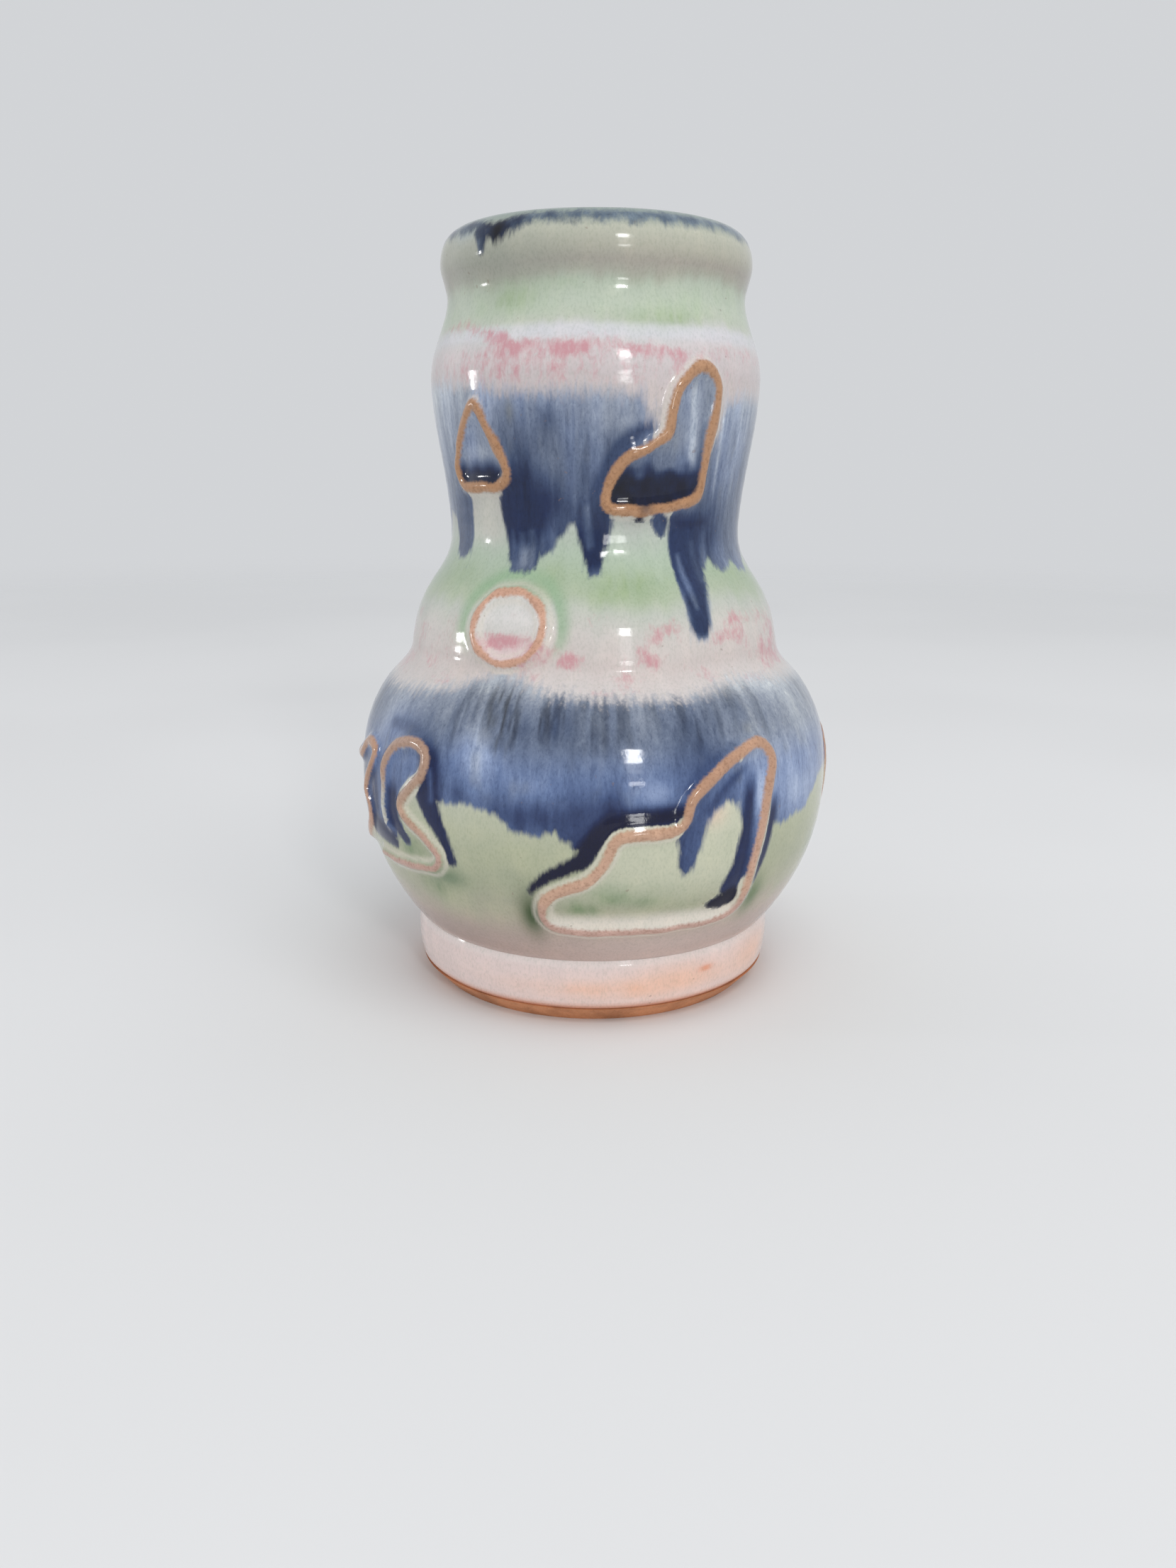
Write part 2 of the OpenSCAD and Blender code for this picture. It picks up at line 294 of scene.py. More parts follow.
# One grid holds every glazed surface: the foot band's rows, then up the wall, over the lip and in
skin_rows = rows_between(0, lip_start, ROW_STEP)
lip_rows = rows_between(lip_start, lip_end, ROW_STEP)
liner_rows = rows_between(lip_end, len(whole) - 1, LINER_STEP)
picked = np.r_[skin_rows, lip_rows[1:], liner_rows[1:]]
outline = np.vstack([band_line, whole[picked]])
outline_normals = np.vstack([normals_of(band_line), normals_of(whole)[picked]])
WALL_START = len(band_line)
SKIN_END = WALL_START + len(skin_rows) - 1
LIP_END = SKIN_END + len(lip_rows) - 1
CREST_ROW = outline[:, 1].argmax()

# At every point of the grid: angle A, height Z, radius R, and millimetres ALONG the outline
angles = np.arange(COLUMNS) * 360 / COLUMNS - 180
A, Z = np.meshgrid(angles, outline[:, 1])
R = np.repeat(outline[:, :1], COLUMNS, axis=1)
ALONG = np.repeat(np.r_[band_line[:, 1], picked * FINE_STEP][:, None], COLUMNS, axis=1)
ROW = np.arange(len(outline))[:, None] * np.ones_like(A)
ON_WALL = (ROW >= WALL_START) & (ROW <= LIP_END)
OUTSIDE = smooth(LIP_END, SKIN_END, ROW)


# ---------------------------------------------------------------- where the ridges run
FAR = 99.0               # mm that count as nowhere near


def ridge_field(name):
    """Distance to a ridge's middle line, how far along it is, and what its outline encloses"""
    facing, closed, points = RIDGES[name]
    curve = round_curve(points, closed)
    across = R * np.sin(np.radians(A - facing))
    near = (np.abs(turn(A - facing)) < RIDGE_REACH) & ON_WALL & (ROW <= SKIN_END)
    for spread, line in ((across, curve[:, 0]), (Z, curve[:, 1])):
        near &= spread > line.min() - RIDGE_MARGIN
        near &= spread < line.max() + RIDGE_MARGIN
    p = np.column_stack([across[near], Z[near]])
    p[:, 0] += WOBBLE * waves(A[near], 40, 14, 40, 5) * np.sin(Z[near] / 2.9)
    p[:, 1] += WOBBLE * waves(A[near], 41, 14, 40, 5)
    end = np.roll(curve, -1, axis=0) if closed else curve[1:]
    start = curve if closed else curve[:-1]
    best = np.full(len(p), 1e9)
    along = np.zeros(len(p))
    odd = np.zeros(len(p), bool)
    for i, (a, b) in enumerate(zip(start, end)):
        d = b - a
        t = np.clip((p - a) @ d / (d @ d), 0, 1)
        gap = np.linalg.norm(p - a - t[:, None] * d, axis=1)
        along = np.where(gap < best, (i + t) / len(start), along)
        best = np.minimum(best, gap)
        if closed and a[1] != b[1]:
            crossing = (a[1] > p[:, 1]) != (b[1] > p[:, 1])
            odd ^= crossing & (p[:, 0] < a[0] + d[0] * (p[:, 1] - a[1]) / d[1])
    gap = np.full(A.shape, FAR)
    way = np.zeros(A.shape)
    enclosed = np.zeros(A.shape, bool)
    gap[near], way[near], enclosed[near] = best, along, odd
    return gap, way, enclosed


fields = {name: ridge_field(name) for name in RIDGES}
GAP = np.min([f[0] for f in fields.values()], axis=0)
OWNER = np.argmin([f[0] for f in fields.values()], axis=0)
WAY = np.choose(OWNER, [f[1] for f in fields.values()])
WITHIN = {name: f[2] for name, f in fields.items()}
# the loop's first end sank into the glaze
BURIED = smooth(0.085, 0.045, WAY) * (OWNER == RIDGE_NAMES.index("loop_ridge"))
# ridges that dark glaze pooled inside, and rings that it never reached
POOLED = ("triangle_ridge", "boot_ridge", "back_triangle_ridge", "back_leaf_ridge")
OPEN = ("ring_ridge", "back_ring_ridge")


def owned(*names):
    """Where the nearest ridge is one of these"""
    return np.isin(OWNER, [RIDGE_NAMES.index(name) for name in names])


# ---------------------------------------------------------------- painting tools
def edge(points):
    """A height for each angle, through (angle, height) points, all the way round"""
    points = sorted((turn(a), z) for a, z in points)
    a, z = np.array(points).T
    a, z = np.r_[a - 360, a, a + 360], np.tile(z, 3)
    i = np.clip(np.searchsorted(a, angles, side="right") - 1, 0, len(a) - 2)
    t = (angles - a[i]) / (a[i + 1] - a[i])
    return z[i] + (z[i + 1] - z[i]) * t * t * (3 - 2 * t)


def above(line):
    """Roughly how many mm each point lies above an edge"""
    run = np.radians(360 / COLUMNS) * np.maximum(R, 1)
    slope = (np.roll(line, -1) - np.roll(line, 1)) / (2 * run)
    return (Z - line) / np.hypot(1, slope)


def stroke(points):
    """How far inside a drip each point lies, in mm. Points are (angle, height, half width)."""
    first = points[0][0]
    curve = round_curve([(first + turn(a - first), z, w) for a, z, w in points], False, 4)
    best = np.full(A.shape, -FAR)
    reach = curve[:, 2].max() + 5
    near = (Z > curve[:, 1].min() - reach) & (Z < curve[:, 1].max() + reach) & ON_WALL
    mid = curve[:, 0].mean()
    near &= np.abs(turn(A - mid)) < np.ptp(curve[:, 0]) / 2 + reach * 2.4
    x, z, r = turn(A[near] - mid), Z[near], np.radians(R[near])
    inside_by = np.full(len(x), -FAR)
    for a, b in zip(curve[:-1], curve[1:]):
        px, pz = (x - (a[0] - mid)) * r, z - a[1]
        dx, dz = (b[0] - a[0]) * r, b[1] - a[1]
        t = np.clip((px * dx + pz * dz) / (dx * dx + dz * dz + 1e-9), 0, 1)
        inside_by = np.maximum(inside_by, mix(a[2], b[2], t) - np.hypot(px - t * dx, pz - t * dz))
    best[near] = inside_by
    return best


def belt(bottom, low, high, top):
    """1 between the heights low and high, fading to 0 at bottom and at top"""
    return smooth(bottom, low, Z) * smooth(top, high, Z)


def spot(a, z, wide, tall):
    """Soft round patch, wide and tall being how far it fades"""
    return np.exp(-(turn(A - a) / wide) ** 2 - ((Z - z) / tall) ** 2)


def spots(patches):
    """Sum of soft patches given as (angle, height, wide, tall, amount)"""
    return sum(much * spot(a, z, wide, tall) for a, z, wide, tall, much in patches)


class Paint:
    """A colour over the whole surface that soft layers are laid on"""

    def __init__(self, colour):
        self.rgb = np.ones(A.shape + (3,)) * seen(*colour)

    def lay(self, colour, amount):
        """Lays a colour over what is there, amount being 0 to 1 at each point"""
        self.rgb += (seen(*colour) - self.rgb) * np.clip(amount, 0, 1)[..., None]


# ---------------------------------------------------------------- ground glazes, in soft bands
GROUND_AND_REFLECTION = [  # height and colour up the outside; the warm mauve-beige from 12.8 to 21 mm under the belly is a painted reflection of a brown table
    (12.8, (182, 160, 152)), (17, (175, 157, 149)), (21, (172, 160, 148)), (24.5, (163, 161, 143)),
    (30, (156, 160, 139)), (36, (164, 168, 146)), (43, (177, 180, 162)), (52, (184, 188, 184)),
    (60, (198, 193, 191)), (66, (194, 184, 180)), (71, (194, 188, 183)), (75, (180, 183, 174)),
    (77.5, (167, 177, 156)), (80, (160, 174, 152)), (84, (168, 181, 164)), (88, (176, 183, 173)),
    (92, (168, 167, 163)), (100, (190, 184, 180)), (111, (190, 180, 178)), (114, (190, 181, 181)),
    (118, (197, 189, 189)), (120.5, (192, 191, 190)), (122.4, (180, 185, 172)),
    (125, (178, 186, 172)), (128, (173, 181, 167)), (129.8, (161, 161, 149)),
    (131.5, (158, 153, 144)), (133.4, (168, 166, 153)), (136.5, (176, 177, 163)),
    (138.6, (140, 150, 142)), (140, (130, 143, 138))]
# Soft patches of green and rose: angle, height, how far each fades sideways and up, and strength
GREENS = [
    (-41, 70.6, 5, 2.4, 0.45), (12, 79.2, 10, 2.8, 0.9), (2, 78.4, 6, 2.4, 0.6),
    (18, 122.6, 15, 1.8, 0.5), (-15, 80.3, 6, 2.6, 0.75), (-56, 81, 10, 3.2, 0.5),
    (60, 81, 12, 3, 0.5), (100, 79, 14, 3, 0.7), (138, 80, 9, 3, 0.6), (175, 79.5, 12, 3, 0.7),
    (-150, 80, 12, 3, 0.6), (-105, 79, 14, 3, 0.6), (-30, 126, 8, 2.1, 1.1),
    (28, 123.2, 11, 1.6, 0.55), (120, 125, 20, 2, 0.5), (-120, 125, 20, 2, 0.5),
    (170, 124, 14, 2, 0.5)]
MOSS = [
    (3.6, 29, 4.6, 2.4, 1.6), (-3, 25.6, 4.2, 1.7, 1), (12.4, 26.8, 4, 1.3, 0.8),
    (22, 25.5, 7, 2, 0.2), (14, 30, 6, 2.2, 0.4), (-41, 26, 5, 2.2, 0.6), (31, 36.5, 2, 2.4, 0.4),
    (-46.5, 32.8, 4, 2, 0.8), (-100, 26, 6, 2.6, 0.6), (-140, 24, 6, 2.6, 0.6),
    (150, 22, 6, 2.6, 0.4), (95, 24, 6, 2.6, 0.4), (70, 30, 6, 2.6, 0.6)]
# The rose line's height and strength at angles round the vase, and of the rose on the shoulder
ROSE_LINE = [
    (-180, 119), (-130, 118.5), (-90, 120), (-53, 122.6), (-45, 121.2), (-35, 119.4), (-20, 118.4),
    (0, 118.2), (28, 117.4), (60, 118), (110, 119.5), (150, 118)]
ROSE_STRENGTH = [
    (-180, 0.6), (-120, 0.7), (-75, 0.3), (-54, 0.5), (-45, 0.8), (-36, 1), (-20, 1), (-16, 0.75),
    (-12, 1), (-4, 0.9), (2, 0.6), (10, 0.75), (26, 0.7), (32, 0.3), (80, 0.3), (120, 0.7),
    (150, 0.5)]
SHOULDER_ROSE = [(-180, 1), (-62, 0.7), (-50, 0.3), (-36, 0.4), (-28, 1), (26, 0.9), (36, 0.5),
                 (50, 0.6), (80, 1)]
ROSES = [
    (-31, 117.4, 4.5, 2.2, 0.5), (-8, 117.6, 4, 1.6, 0.4), (-7.5, 66.6, 2.6, 1.4, 0.9),
    (-45, 62.8, 4, 1.2, 0.5), (46, 73, 4.4, 1.6, 0.6), (-27, 69.4, 7, 1.1, 0.8),
    (-20, 66, 3, 2, 0.3), (40, 70, 5, 1.6, 0.3), (14, 67, 8, 2.4, 0.3), (-54, 66, 5, 2, 0.3),
    (62, 67, 8, 2, 0.35), (100, 68, 9, 2.4, 0.5), (150, 69.6, 7, 1.2, 0.8), (-170, 66, 9, 2, 0.5),
    (-125, 70, 9, 2, 0.5), (-90, 65, 8, 2, 0.4), (128, 64, 6, 1.6, 0.5)]


def ground_colours_and_painted_light():
    """The ground glazes: soft bands, greens, and cream round and inside some ridges, with painted
    shade and a painted table reflection under the belly
    """
    drift = 0.7 * waves(A, 3, 1, 7, 4) + 0.35 * waves(A, 4, 20, 70, 8)
    calm = belt(12.8, 22, 128, 133)
    height = Z + drift * calm
    stops = np.array([z for z, _ in GROUND_AND_REFLECTION])
    colours = np.array([seen(*c) for _, c in GROUND_AND_REFLECTION])
    paint = Paint((200, 196, 194))
    paint.rgb = np.stack([np.interp(height, stops, colours[:, i]) for i in range(3)], axis=-1)
    streaky = cloud(A, ALONG, 7, 1.6, 2.4)
    patchy = cloud(A, ALONG, 8, 9, 4)

    # green of the neck, of the collar and round the rings
    paint.lay((148, 165, 132), spots(GREENS) * (0.3 + 1.0 * streaky))
    collar = belt(122, 124, 128, 130)
    paint.lay((168, 182, 158), collar * (0.15 + 0.7 * patchy ** 2) * (0.4 + 0.9 * streaky))
    for name in OPEN:
        gap = fields[name][0]
        halo = smooth(1.9, 2.8, gap) * smooth(5.4, 3, gap) * ~WITHIN[name] * smooth(66, 73, Z)
        paint.lay((142, 168, 138), halo * (0.35 + 0.7 * patchy))
        paint.lay((208, 204, 202), WITHIN[name] * 0.8 * smooth(69, 74, Z))
        paint.lay((206, 184, 184), WITHIN[name] * smooth(71.5, 69, Z) * 0.8)

    # the collar is darker on its left; painted shade darkens the foot of the belly on its left and
    # at both sides, with a paler patch in front
    paint.lay((143, 148, 138), 0.66 * spot(-40, 132.4, 32, 4.6))
    paint.lay((148, 132, 126), 0.45 * spot(-42, 15.5, 26, 5))
    paint.lay((204, 186, 180), 0.4 * spot(16, 15.5, 24, 5))
    paint.lay((158, 134, 120), 0.55 * spot(62, 15, 14, 4) + 0.4 * spot(-62, 14.5, 14, 4))

    # lavender white round the top, cream below the triangle
    paint.lay((202, 202, 209), 0.5 * belt(118.6, 120.2, 121, 122.4))
    paint.lay((187, 186, 178), belt(84.5, 88, 93, 95) * spot(-43.5, 90, 9, 9))

    # greens that pooled low on the belly, and cream along the foot of the hill
    paint.lay((180, 182, 152), belt(18, 24, 40, 46) * 0.5 * patchy)
    paint.lay((102, 126, 90), spots(MOSS) * (0.3 + 0.9 * streaky))
    for name in ("hill_ridge", "back_hill_ridge"):
        paint.lay((192, 193, 174), WITHIN[name] * smooth(24, 32, Z) * 0.7)
        paint.lay((208, 202, 192), WITHIN[name] * smooth(25.2, 22.6, Z) * 0.9)
    paint.lay((62, 80, 50), ~WITHIN["hill_ridge"] * spot(-14.6, 23.8, 3.2, 4.8))
    paint.lay((96, 116, 82), 0.9 * ~WITHIN["hill_ridge"] * spot(42, 24.4, 3.4, 4))
    paint.lay((104, 124, 98), 0.8 * spot(-35.4, 28.9, 5.4, 2.1))
    paint.lay((206, 184, 166), 0.7 * WITHIN["hill_ridge"] * spot(26.5, 42, 3, 2.2))
    return paint


def rose_amount():
    """Where rose speckles show, from 0 to 1"""
    patchy = cloud(A, ALONG, 12, 7, 3)
    strength = edge(ROSE_STRENGTH)
    line = edge(ROSE_LINE) + 0.4 * waves(angles, 13, 8, 40, 8)
    rose = 0.8 * strength * bell(Z - line, 1.3) * (0.7 + 0.5 * patchy)
    drips = smooth(0.42, 0.7, cloud(A, ALONG, 14, 2.4, 14))
    below = strength * belt(110, 114, 117, 119)
    rose = rose + 0.62 * below * (0.3 + 0.4 * patchy + 0.5 * drips)
    shoulder = belt(61, 63, 72, 76) * edge(SHOULDER_ROSE)
    rose = rose + 0.66 * shoulder * smooth(0.4, 0.75, cloud(A, ALONG, 11, 8, 3))
    return np.clip(rose + spots(ROSES) * (0.6 + 0.5 * patchy), 0, 1) * ON_WALL


# ---------------------------------------------------------------- blue glazes that ran over them
# Edges of the blues, as (angle, height): the band of the upper body, then that of the belly, and
# how far it ran down inside the hill
UPPER_TOP = [(-180, 112.4), (-140, 111.2), (-100, 112.8), (-75, 113.4), (-60, 113.2), (-45, 112.4),
             (-32, 111.4), (-20, 111.2), (0, 111.2), (14, 110.6), (18, 107.4), (22, 105), (44, 105),
             (49, 110.4), (60, 111.2), (80, 111), (110, 112.6), (150, 111)]
UPPER_BOTTOM = [
    (-82, 86), (-74, 91), (-68.4, 90.4), (-66, 87), (-63.6, 83.8), (-60, 82.8), (-56, 83),
    (-53, 84.4), (-51.4, 95.6), (-36, 95.6), (-34.6, 90), (-32.4, 84), (-30, 81.4), (-24, 81),
    (-21.4, 81.8), (-19.6, 83.8), (-16, 84.8), (-13, 87.2), (-8, 89.6), (-5.6, 88), (-4, 83),
    (-1.8, 80.8), (1, 81), (3.6, 84.6), (6, 89.2), (8, 92), (26, 92), (27.2, 89.4), (27.6, 84),
    (27.9, 77), (28.4, 72.6), (30.8, 70), (33.8, 69.8), (36, 72), (37.8, 75.6), (39.4, 79),
    (41.6, 81.6), (45, 83.2), (48, 81.8), (52, 80.8), (56, 81.8), (60, 82.6), (64, 81), (70, 80.6),
    (75, 82.4), (82, 84), (88, 79), (92, 77.5), (96, 83), (104, 88), (112, 90), (120, 86),
    (125, 80.5), (129, 83), (140, 87.6), (150, 85), (156, 79.4), (160, 78.4), (165, 84), (172, 88),
    (-178, 92), (-168, 92), (-162, 85), (-158, 77), (-155, 76.4), (-151, 83), (-140, 87),
    (-128, 83), (-122, 84.6), (-112, 88), (-104, 81), (-99, 80.2), (-94, 84.6)]
LOWER_TOP = [
    (-180, 61.4), (-150, 60.4), (-110, 61), (-80, 60.4), (-70, 60), (-60, 60.2), (-50, 60.8),
    (-40, 61.6), (-32, 63.6), (-26, 64.9), (-21.5, 64.1), (-17, 63), (-10, 61.8), (0, 61.4),
    (10, 61.2), (22, 61), (30, 61.8), (40, 63), (50, 62.8), (60, 62), (72, 61.6), (90, 61),
    (120, 62), (150, 60.6)]
LOWER_BOTTOM = [
    (-80, 31.5), (-70, 31.6), (-60, 32.4), (-53, 32.4), (-50, 38), (-47, 46), (-43.4, 46),
    (-41, 43), (-38.6, 42), (-35, 42.9), (-30, 43.2), (-25, 43), (-21, 41.8), (-17, 39.6),
    (-13, 39), (-9, 39.8), (-6, 38.4), (-3, 37), (0, 37), (4, 40), (17, 40), (28, 44), (40, 42),
    (44, 38.4), (47, 37.6), (52, 38.6), (57, 38.8), (62, 41), (67, 43.4), (74, 44), (82, 40),
    (90, 42), (96, 45), (104, 43), (112, 39.6), (120, 36), (128, 33.6), (136, 40), (146, 43.6),
    (154, 41), (162, 43), (170, 40), (178, 42), (-170, 44), (-162, 40.6), (-154, 42.8), (-146, 40),
    (-136, 43), (-126, 39.4), (-116, 41), (-106, 36.6), (-98, 34)]
HILL_FILL = [
    (-170, 60), (-20, 60), (10, 41), (16.6, 41), (18, 37.6), (19, 33.6), (20.4, 31.4), (22, 32.6),
    (23.4, 36), (25, 40), (27, 42.6), (30, 43.8), (32.6, 43), (33.6, 39), (34.2, 32), (34.8, 28),
    (45, 28)]

# Dark runs and pools: strength, softness of the sides, height over which the top fades in, and the
# (angle, height, half width) points of each
DARK_RUNS = [
    (0.94, 2.4, 10, [(-27, 98, 3), (-27.5, 92.4, 4.4), (-27.5, 89.2, 2.6)]),
    (0.85, 1.0, 8, [(-34.6, 100, 1), (-33.4, 95, 1.4), (-32.6, 89, 1.1), (-30.6, 83.4, 0.8)]),
    (0.7, 1.8, 8, [(-19, 96, 2), (-19.5, 90, 1.2)]),
    (0.94, 1.8, 8, [(-1.4, 93, 2), (-1, 88, 2.6), (-0.8, 84, 1.6)]),
    (0.8, 1.4, 0, [
        (1.6, 94.6, 1), (4.6, 98.6, 1.2), (7.6, 101.8, 1.2), (12, 104, 0.8), (17, 105.4, 0.4)]),
    (1.1, 0.7, 0, [(17.5, 92.2, 1), (15.6, 91, 1.3), (14.4, 90.6, 0.7)]),
    (0.78, 0.9, 0, [(22, 91.4, 1.6), (23.6, 89.8, 1.6), (24.2, 88, 0.9)]),
    (0.95, 2.4, 3, [(29.5, 91, 1.2), (36, 90.8, 2), (42, 90.8, 1.2)]),
    (0.88, 1.4, 3, [
        (34.6, 89, 3.4), (34.2, 84, 3.2), (33.4, 79, 2.4), (32.6, 75.6, 2), (32.4, 72.6, 1.9)]),
    (0.72, 1.8, 10, [(-59.5, 95, 2.4), (-60, 88, 2.4), (-59.6, 85.6, 2)]),
    (1.12, 1.7, 0, [
        (-14.2, 28.8, 0.6), (-12.8, 30.2, 0.8), (-10, 31.9, 1.1), (-6, 33.6, 1.3), (-2.8, 35, 1.6),
        (-0.8, 37.4, 1.7), (2, 40.2, 1.6), (5, 41.8, 1.2), (10, 42.2, 1), (15, 42.4, 1),
        (18.4, 42.8, 0.7)]),
    (0.86, 2.4, 7, [(-2, 44, 1.6), (-1, 41, 1.8), (-3.4, 38, 1.2)]),
    (0.74, 1.0, 4, [(23.8, 46, 1.2), (21.6, 41, 1.4), (20.6, 36.5, 1.6), (20.1, 33.6, 1.5)]),
    (0.93, 1.2, 7, [(37, 50, 0.8), (36, 45, 1), (35, 38, 1.2), (34, 31.6, 1.6), (32.8, 27.6, 2)]),
    (1.16, 0.8, 0, [(34, 25.8, 1.7), (31, 25, 1.5), (28.2, 24.6, 0.8)]),
    (0.94, 1.2, 6, [
        (43.7, 45, 1), (42.7, 39, 1.2), (41.4, 33.6, 1.2), (40.2, 28.6, 0.9), (39.4, 26.4, 0.5)]),
    (0.78, 1.2, 5, [(35.4, 54.8, 0.4), (27, 51.3, 0.6), (20.6, 46.8, 0.8)]),
    (0.8, 1.0, 3, [(36.6, 50.4, 0.4), (31, 47.4, 0.6), (25.4, 43, 0.7)]),
    (0.97, 2, 5, [
        (-42.2, 54.2, 1.1), (-39.6, 50, 1.6), (-39.2, 47, 2), (-40, 44, 2.6), (-38.4, 41, 2.2),
        (-36, 37.8, 1.5), (-34.4, 35, 1.2), (-33.6, 32.6, 1.25)]),
    (0.66, 1.6, 0, [(-56, 54.4, 0.6), (-48, 54.2, 0.9), (-42, 52.6, 1)]),
    (0.92, 0.8, 4, [
        (-52.6, 44.4, 1.3), (-52.3, 41, 1.5), (-52.2, 38, 1.7), (-50.2, 35.6, 1.5),
        (-47.8, 34.1, 1.2)]),
    (0.95, 2.4, 8, [
        (-74, 44, 3.4), (-72, 38, 3.6), (-66, 34.4, 2.4), (-60, 33.4, 1.8), (-53.4, 32.6, 1.2)]),
    (0.85, 1.2, 6, [(-63.4, 47, 1.2), (-63, 42, 1.4), (-62, 38, 1.1)]),
    (0.9, 1.6, 6, [(90, 85, 2.4), (91, 80.6, 1.4)]),
    (0.9, 1.6, 6, [(125, 88, 2.8), (125.4, 83, 1.6)]),
    (0.95, 1.8, 8, [(158, 88, 3), (158.6, 81, 1.8)]),
    (0.95, 1.8, 8, [(-158, 89, 2.8), (-156.6, 79, 1.6)]),
    (0.9, 1.8, 8, [(-101, 89, 2.8), (-100.6, 82.6, 1.8)]),
    (0.85, 1.4, 4, [(106, 104, 1), (107, 99, 1.4), (110, 94.6, 1)]),
    (1.05, 1.4, 0, [
        (92, 43, 1.2), (101, 47.4, 1.4), (108, 44.4, 1.4), (116, 40.4, 1.5), (125, 36.4, 1.4),
        (133, 35, 1)]),
    (1.0, 1.2, 4, [(127.6, 37, 1.8), (129.4, 33.6, 1.4), (137, 31, 0.9)]),
    (1.0, 1.4, 0, [
        (178, 53.6, 1), (-176, 54.6, 1.5), (-167, 52.6, 1.5), (-163.6, 46, 1.4), (-163, 39, 1.2)]),
    (0.9, 1.2, 6, [(176.6, 44, 1.2), (175, 38, 1.3), (171.6, 32.6, 1)]),
]
# Pale streaks in them: strength, softness and points
PALE_RUNS = [
    (0.3, 0.6, [(30.6, 84, 0.3), (31.2, 79.6, 0.6), (32.2, 75.6, 0.3)]),
    (0.16, 0.9, [(-27.4, 87.4, 0.4), (-27, 82.6, 0.7)]),
    (0.16, 0.6, [(-31.4, 88, 0.2), (-30.2, 82.8, 0.4)]),
    (0.18, 0.8, [(-23.6, 88, 0.4), (-23.4, 82.6, 0.6)]),
    (0.2, 0.7, [(-38.6, 48, 0.3), (-38.2, 43, 0.5)]),
    (0.1, 0.8, [(37.6, 86, 0.4), (37.8, 80, 0.5)]),
    (0.2, 0.9, [(-3, 92, 0.4), (-2.2, 86, 0.5)]),
]
# Soft darker and paler patches in the blue: angle, height, wide, tall, and change of tone
UPPER_PATCHES = [
    (-26, 94, 8, 7, 0.16), (-58, 93, 5, 6, 0.18), (50, 88, 8, 5, 0.16), (-37, 105, 3.4, 4, -0.12),
    (-25.6, 84, 1.8, 3, -0.3), (30.2, 79, 0.9, 6, -0.4), (-10, 94, 5, 4, -0.04),
    (-16, 106.8, 4.4, 2.2, 0.16), (-14, 100, 6, 3.4, -0.14), (-15, 93.4, 4.6, 2.2, 0.1),
    (-16, 87, 3, 3, -0.1), (0, 88, 4, 4, 0.1), (4, 107, 6, 3, -0.1), (38, 81, 2.4, 3, 0.14),
    (57, 96, 5, 8, -0.08), (12, 106.4, 3, 2.4, -0.14), (110, 96, 12, 6, 0.15),
    (-120, 95, 12, 6, 0.15), (160, 92, 10, 6, 0.15)]
LOWER_PATCHES = [
    (-26.5, 51.5, 4.4, 4.6, -0.34), (-32, 45, 4, 2, 0.14), (-13, 42.6, 9, 2.6, 0.2),
    (-15, 47, 5, 2, -0.16), (-66, 44, 8, 6, 0.2), (-46, 56, 9, 2.4, 0.1), (-27, 55, 3, 2, -0.12),
    (-15, 56, 5, 3, 0.14), (9, 50, 5, 4, -0.12), (24, 52, 4.4, 4.4, 0.16), (13, 46.4, 5, 2, -0.36),
    (-56, 58, 7, 3, -0.2), (38, 58, 6, 3, 0.16), (55, 43, 8, 4, -0.24), (2, 44, 5, 3, 0.16),
    (-35, 50, 3, 3, 0.08), (38.4, 44, 4, 4.4, -0.28), (12, 58, 3, 3, -0.16),
    (0, 58, 3, 2.4, -0.12), (-40, 58, 4, 2.4, -0.12), (-55, 54.4, 6, 2.4, -0.14),
    (100, 52, 12, 5, 0.12), (-140, 52, 14, 5, 0.15), (160, 50, 12, 5, 0.12),
    (-110, 46, 10, 5, 0.12)]
# Iron-grey streaks at the top of the lower blue: angle, half width, lowest height, strength
IRON_STREAKS = [
    (-32, 1.5, 55, 0.5), (-25.6, 1.3, 54, 0.9), (-22.4, 1.2, 52, 1), (-19.6, 0.9, 53, 0.7),
    (-12, 1.3, 54, 0.7), (-8, 1, 55, 0.5), (-3.5, 1, 55, 0.5), (0.6, 1.1, 53, 0.5),
    (3.4, 1, 54, 0.5), (8, 1.3, 55, 0.5), (14, 1.6, 56, 0.5), (21, 1.6, 55, 0.5), (28, 2, 57, 0.4),
    (36, 3, 58, 0.75), (43, 2, 59, 0.5), (70, 3, 56, 0.5), (95, 3, 55, 0.7), (132, 4, 54, 0.8),
    (165, 3, 55, 0.6), (-100, 4, 54, 0.7), (-128, 3, 55, 0.6), (-152, 4, 54, 0.8)]


def comb(seed, depth):
    """Ragged fringe of fine runs, in mm"""
    return depth * (waves(angles, seed, 90, 240, 24) + 0.5 * waves(angles, seed + 1, 30, 80, 10))


def drawn_runs():
    """Each dark run's strength, how far inside it points lie in mm, and how much of it shows"""
    out = []
    for strength, soft, fade, points in DARK_RUNS:
        deep = stroke(points)
        shown = smooth(-soft, 0.6, deep)
        if fade:
            top = points[0][1] + points[0][2]
            shown = shown * smooth(top, top - fade, Z)
        out.append((strength, deep, shown))
    return out


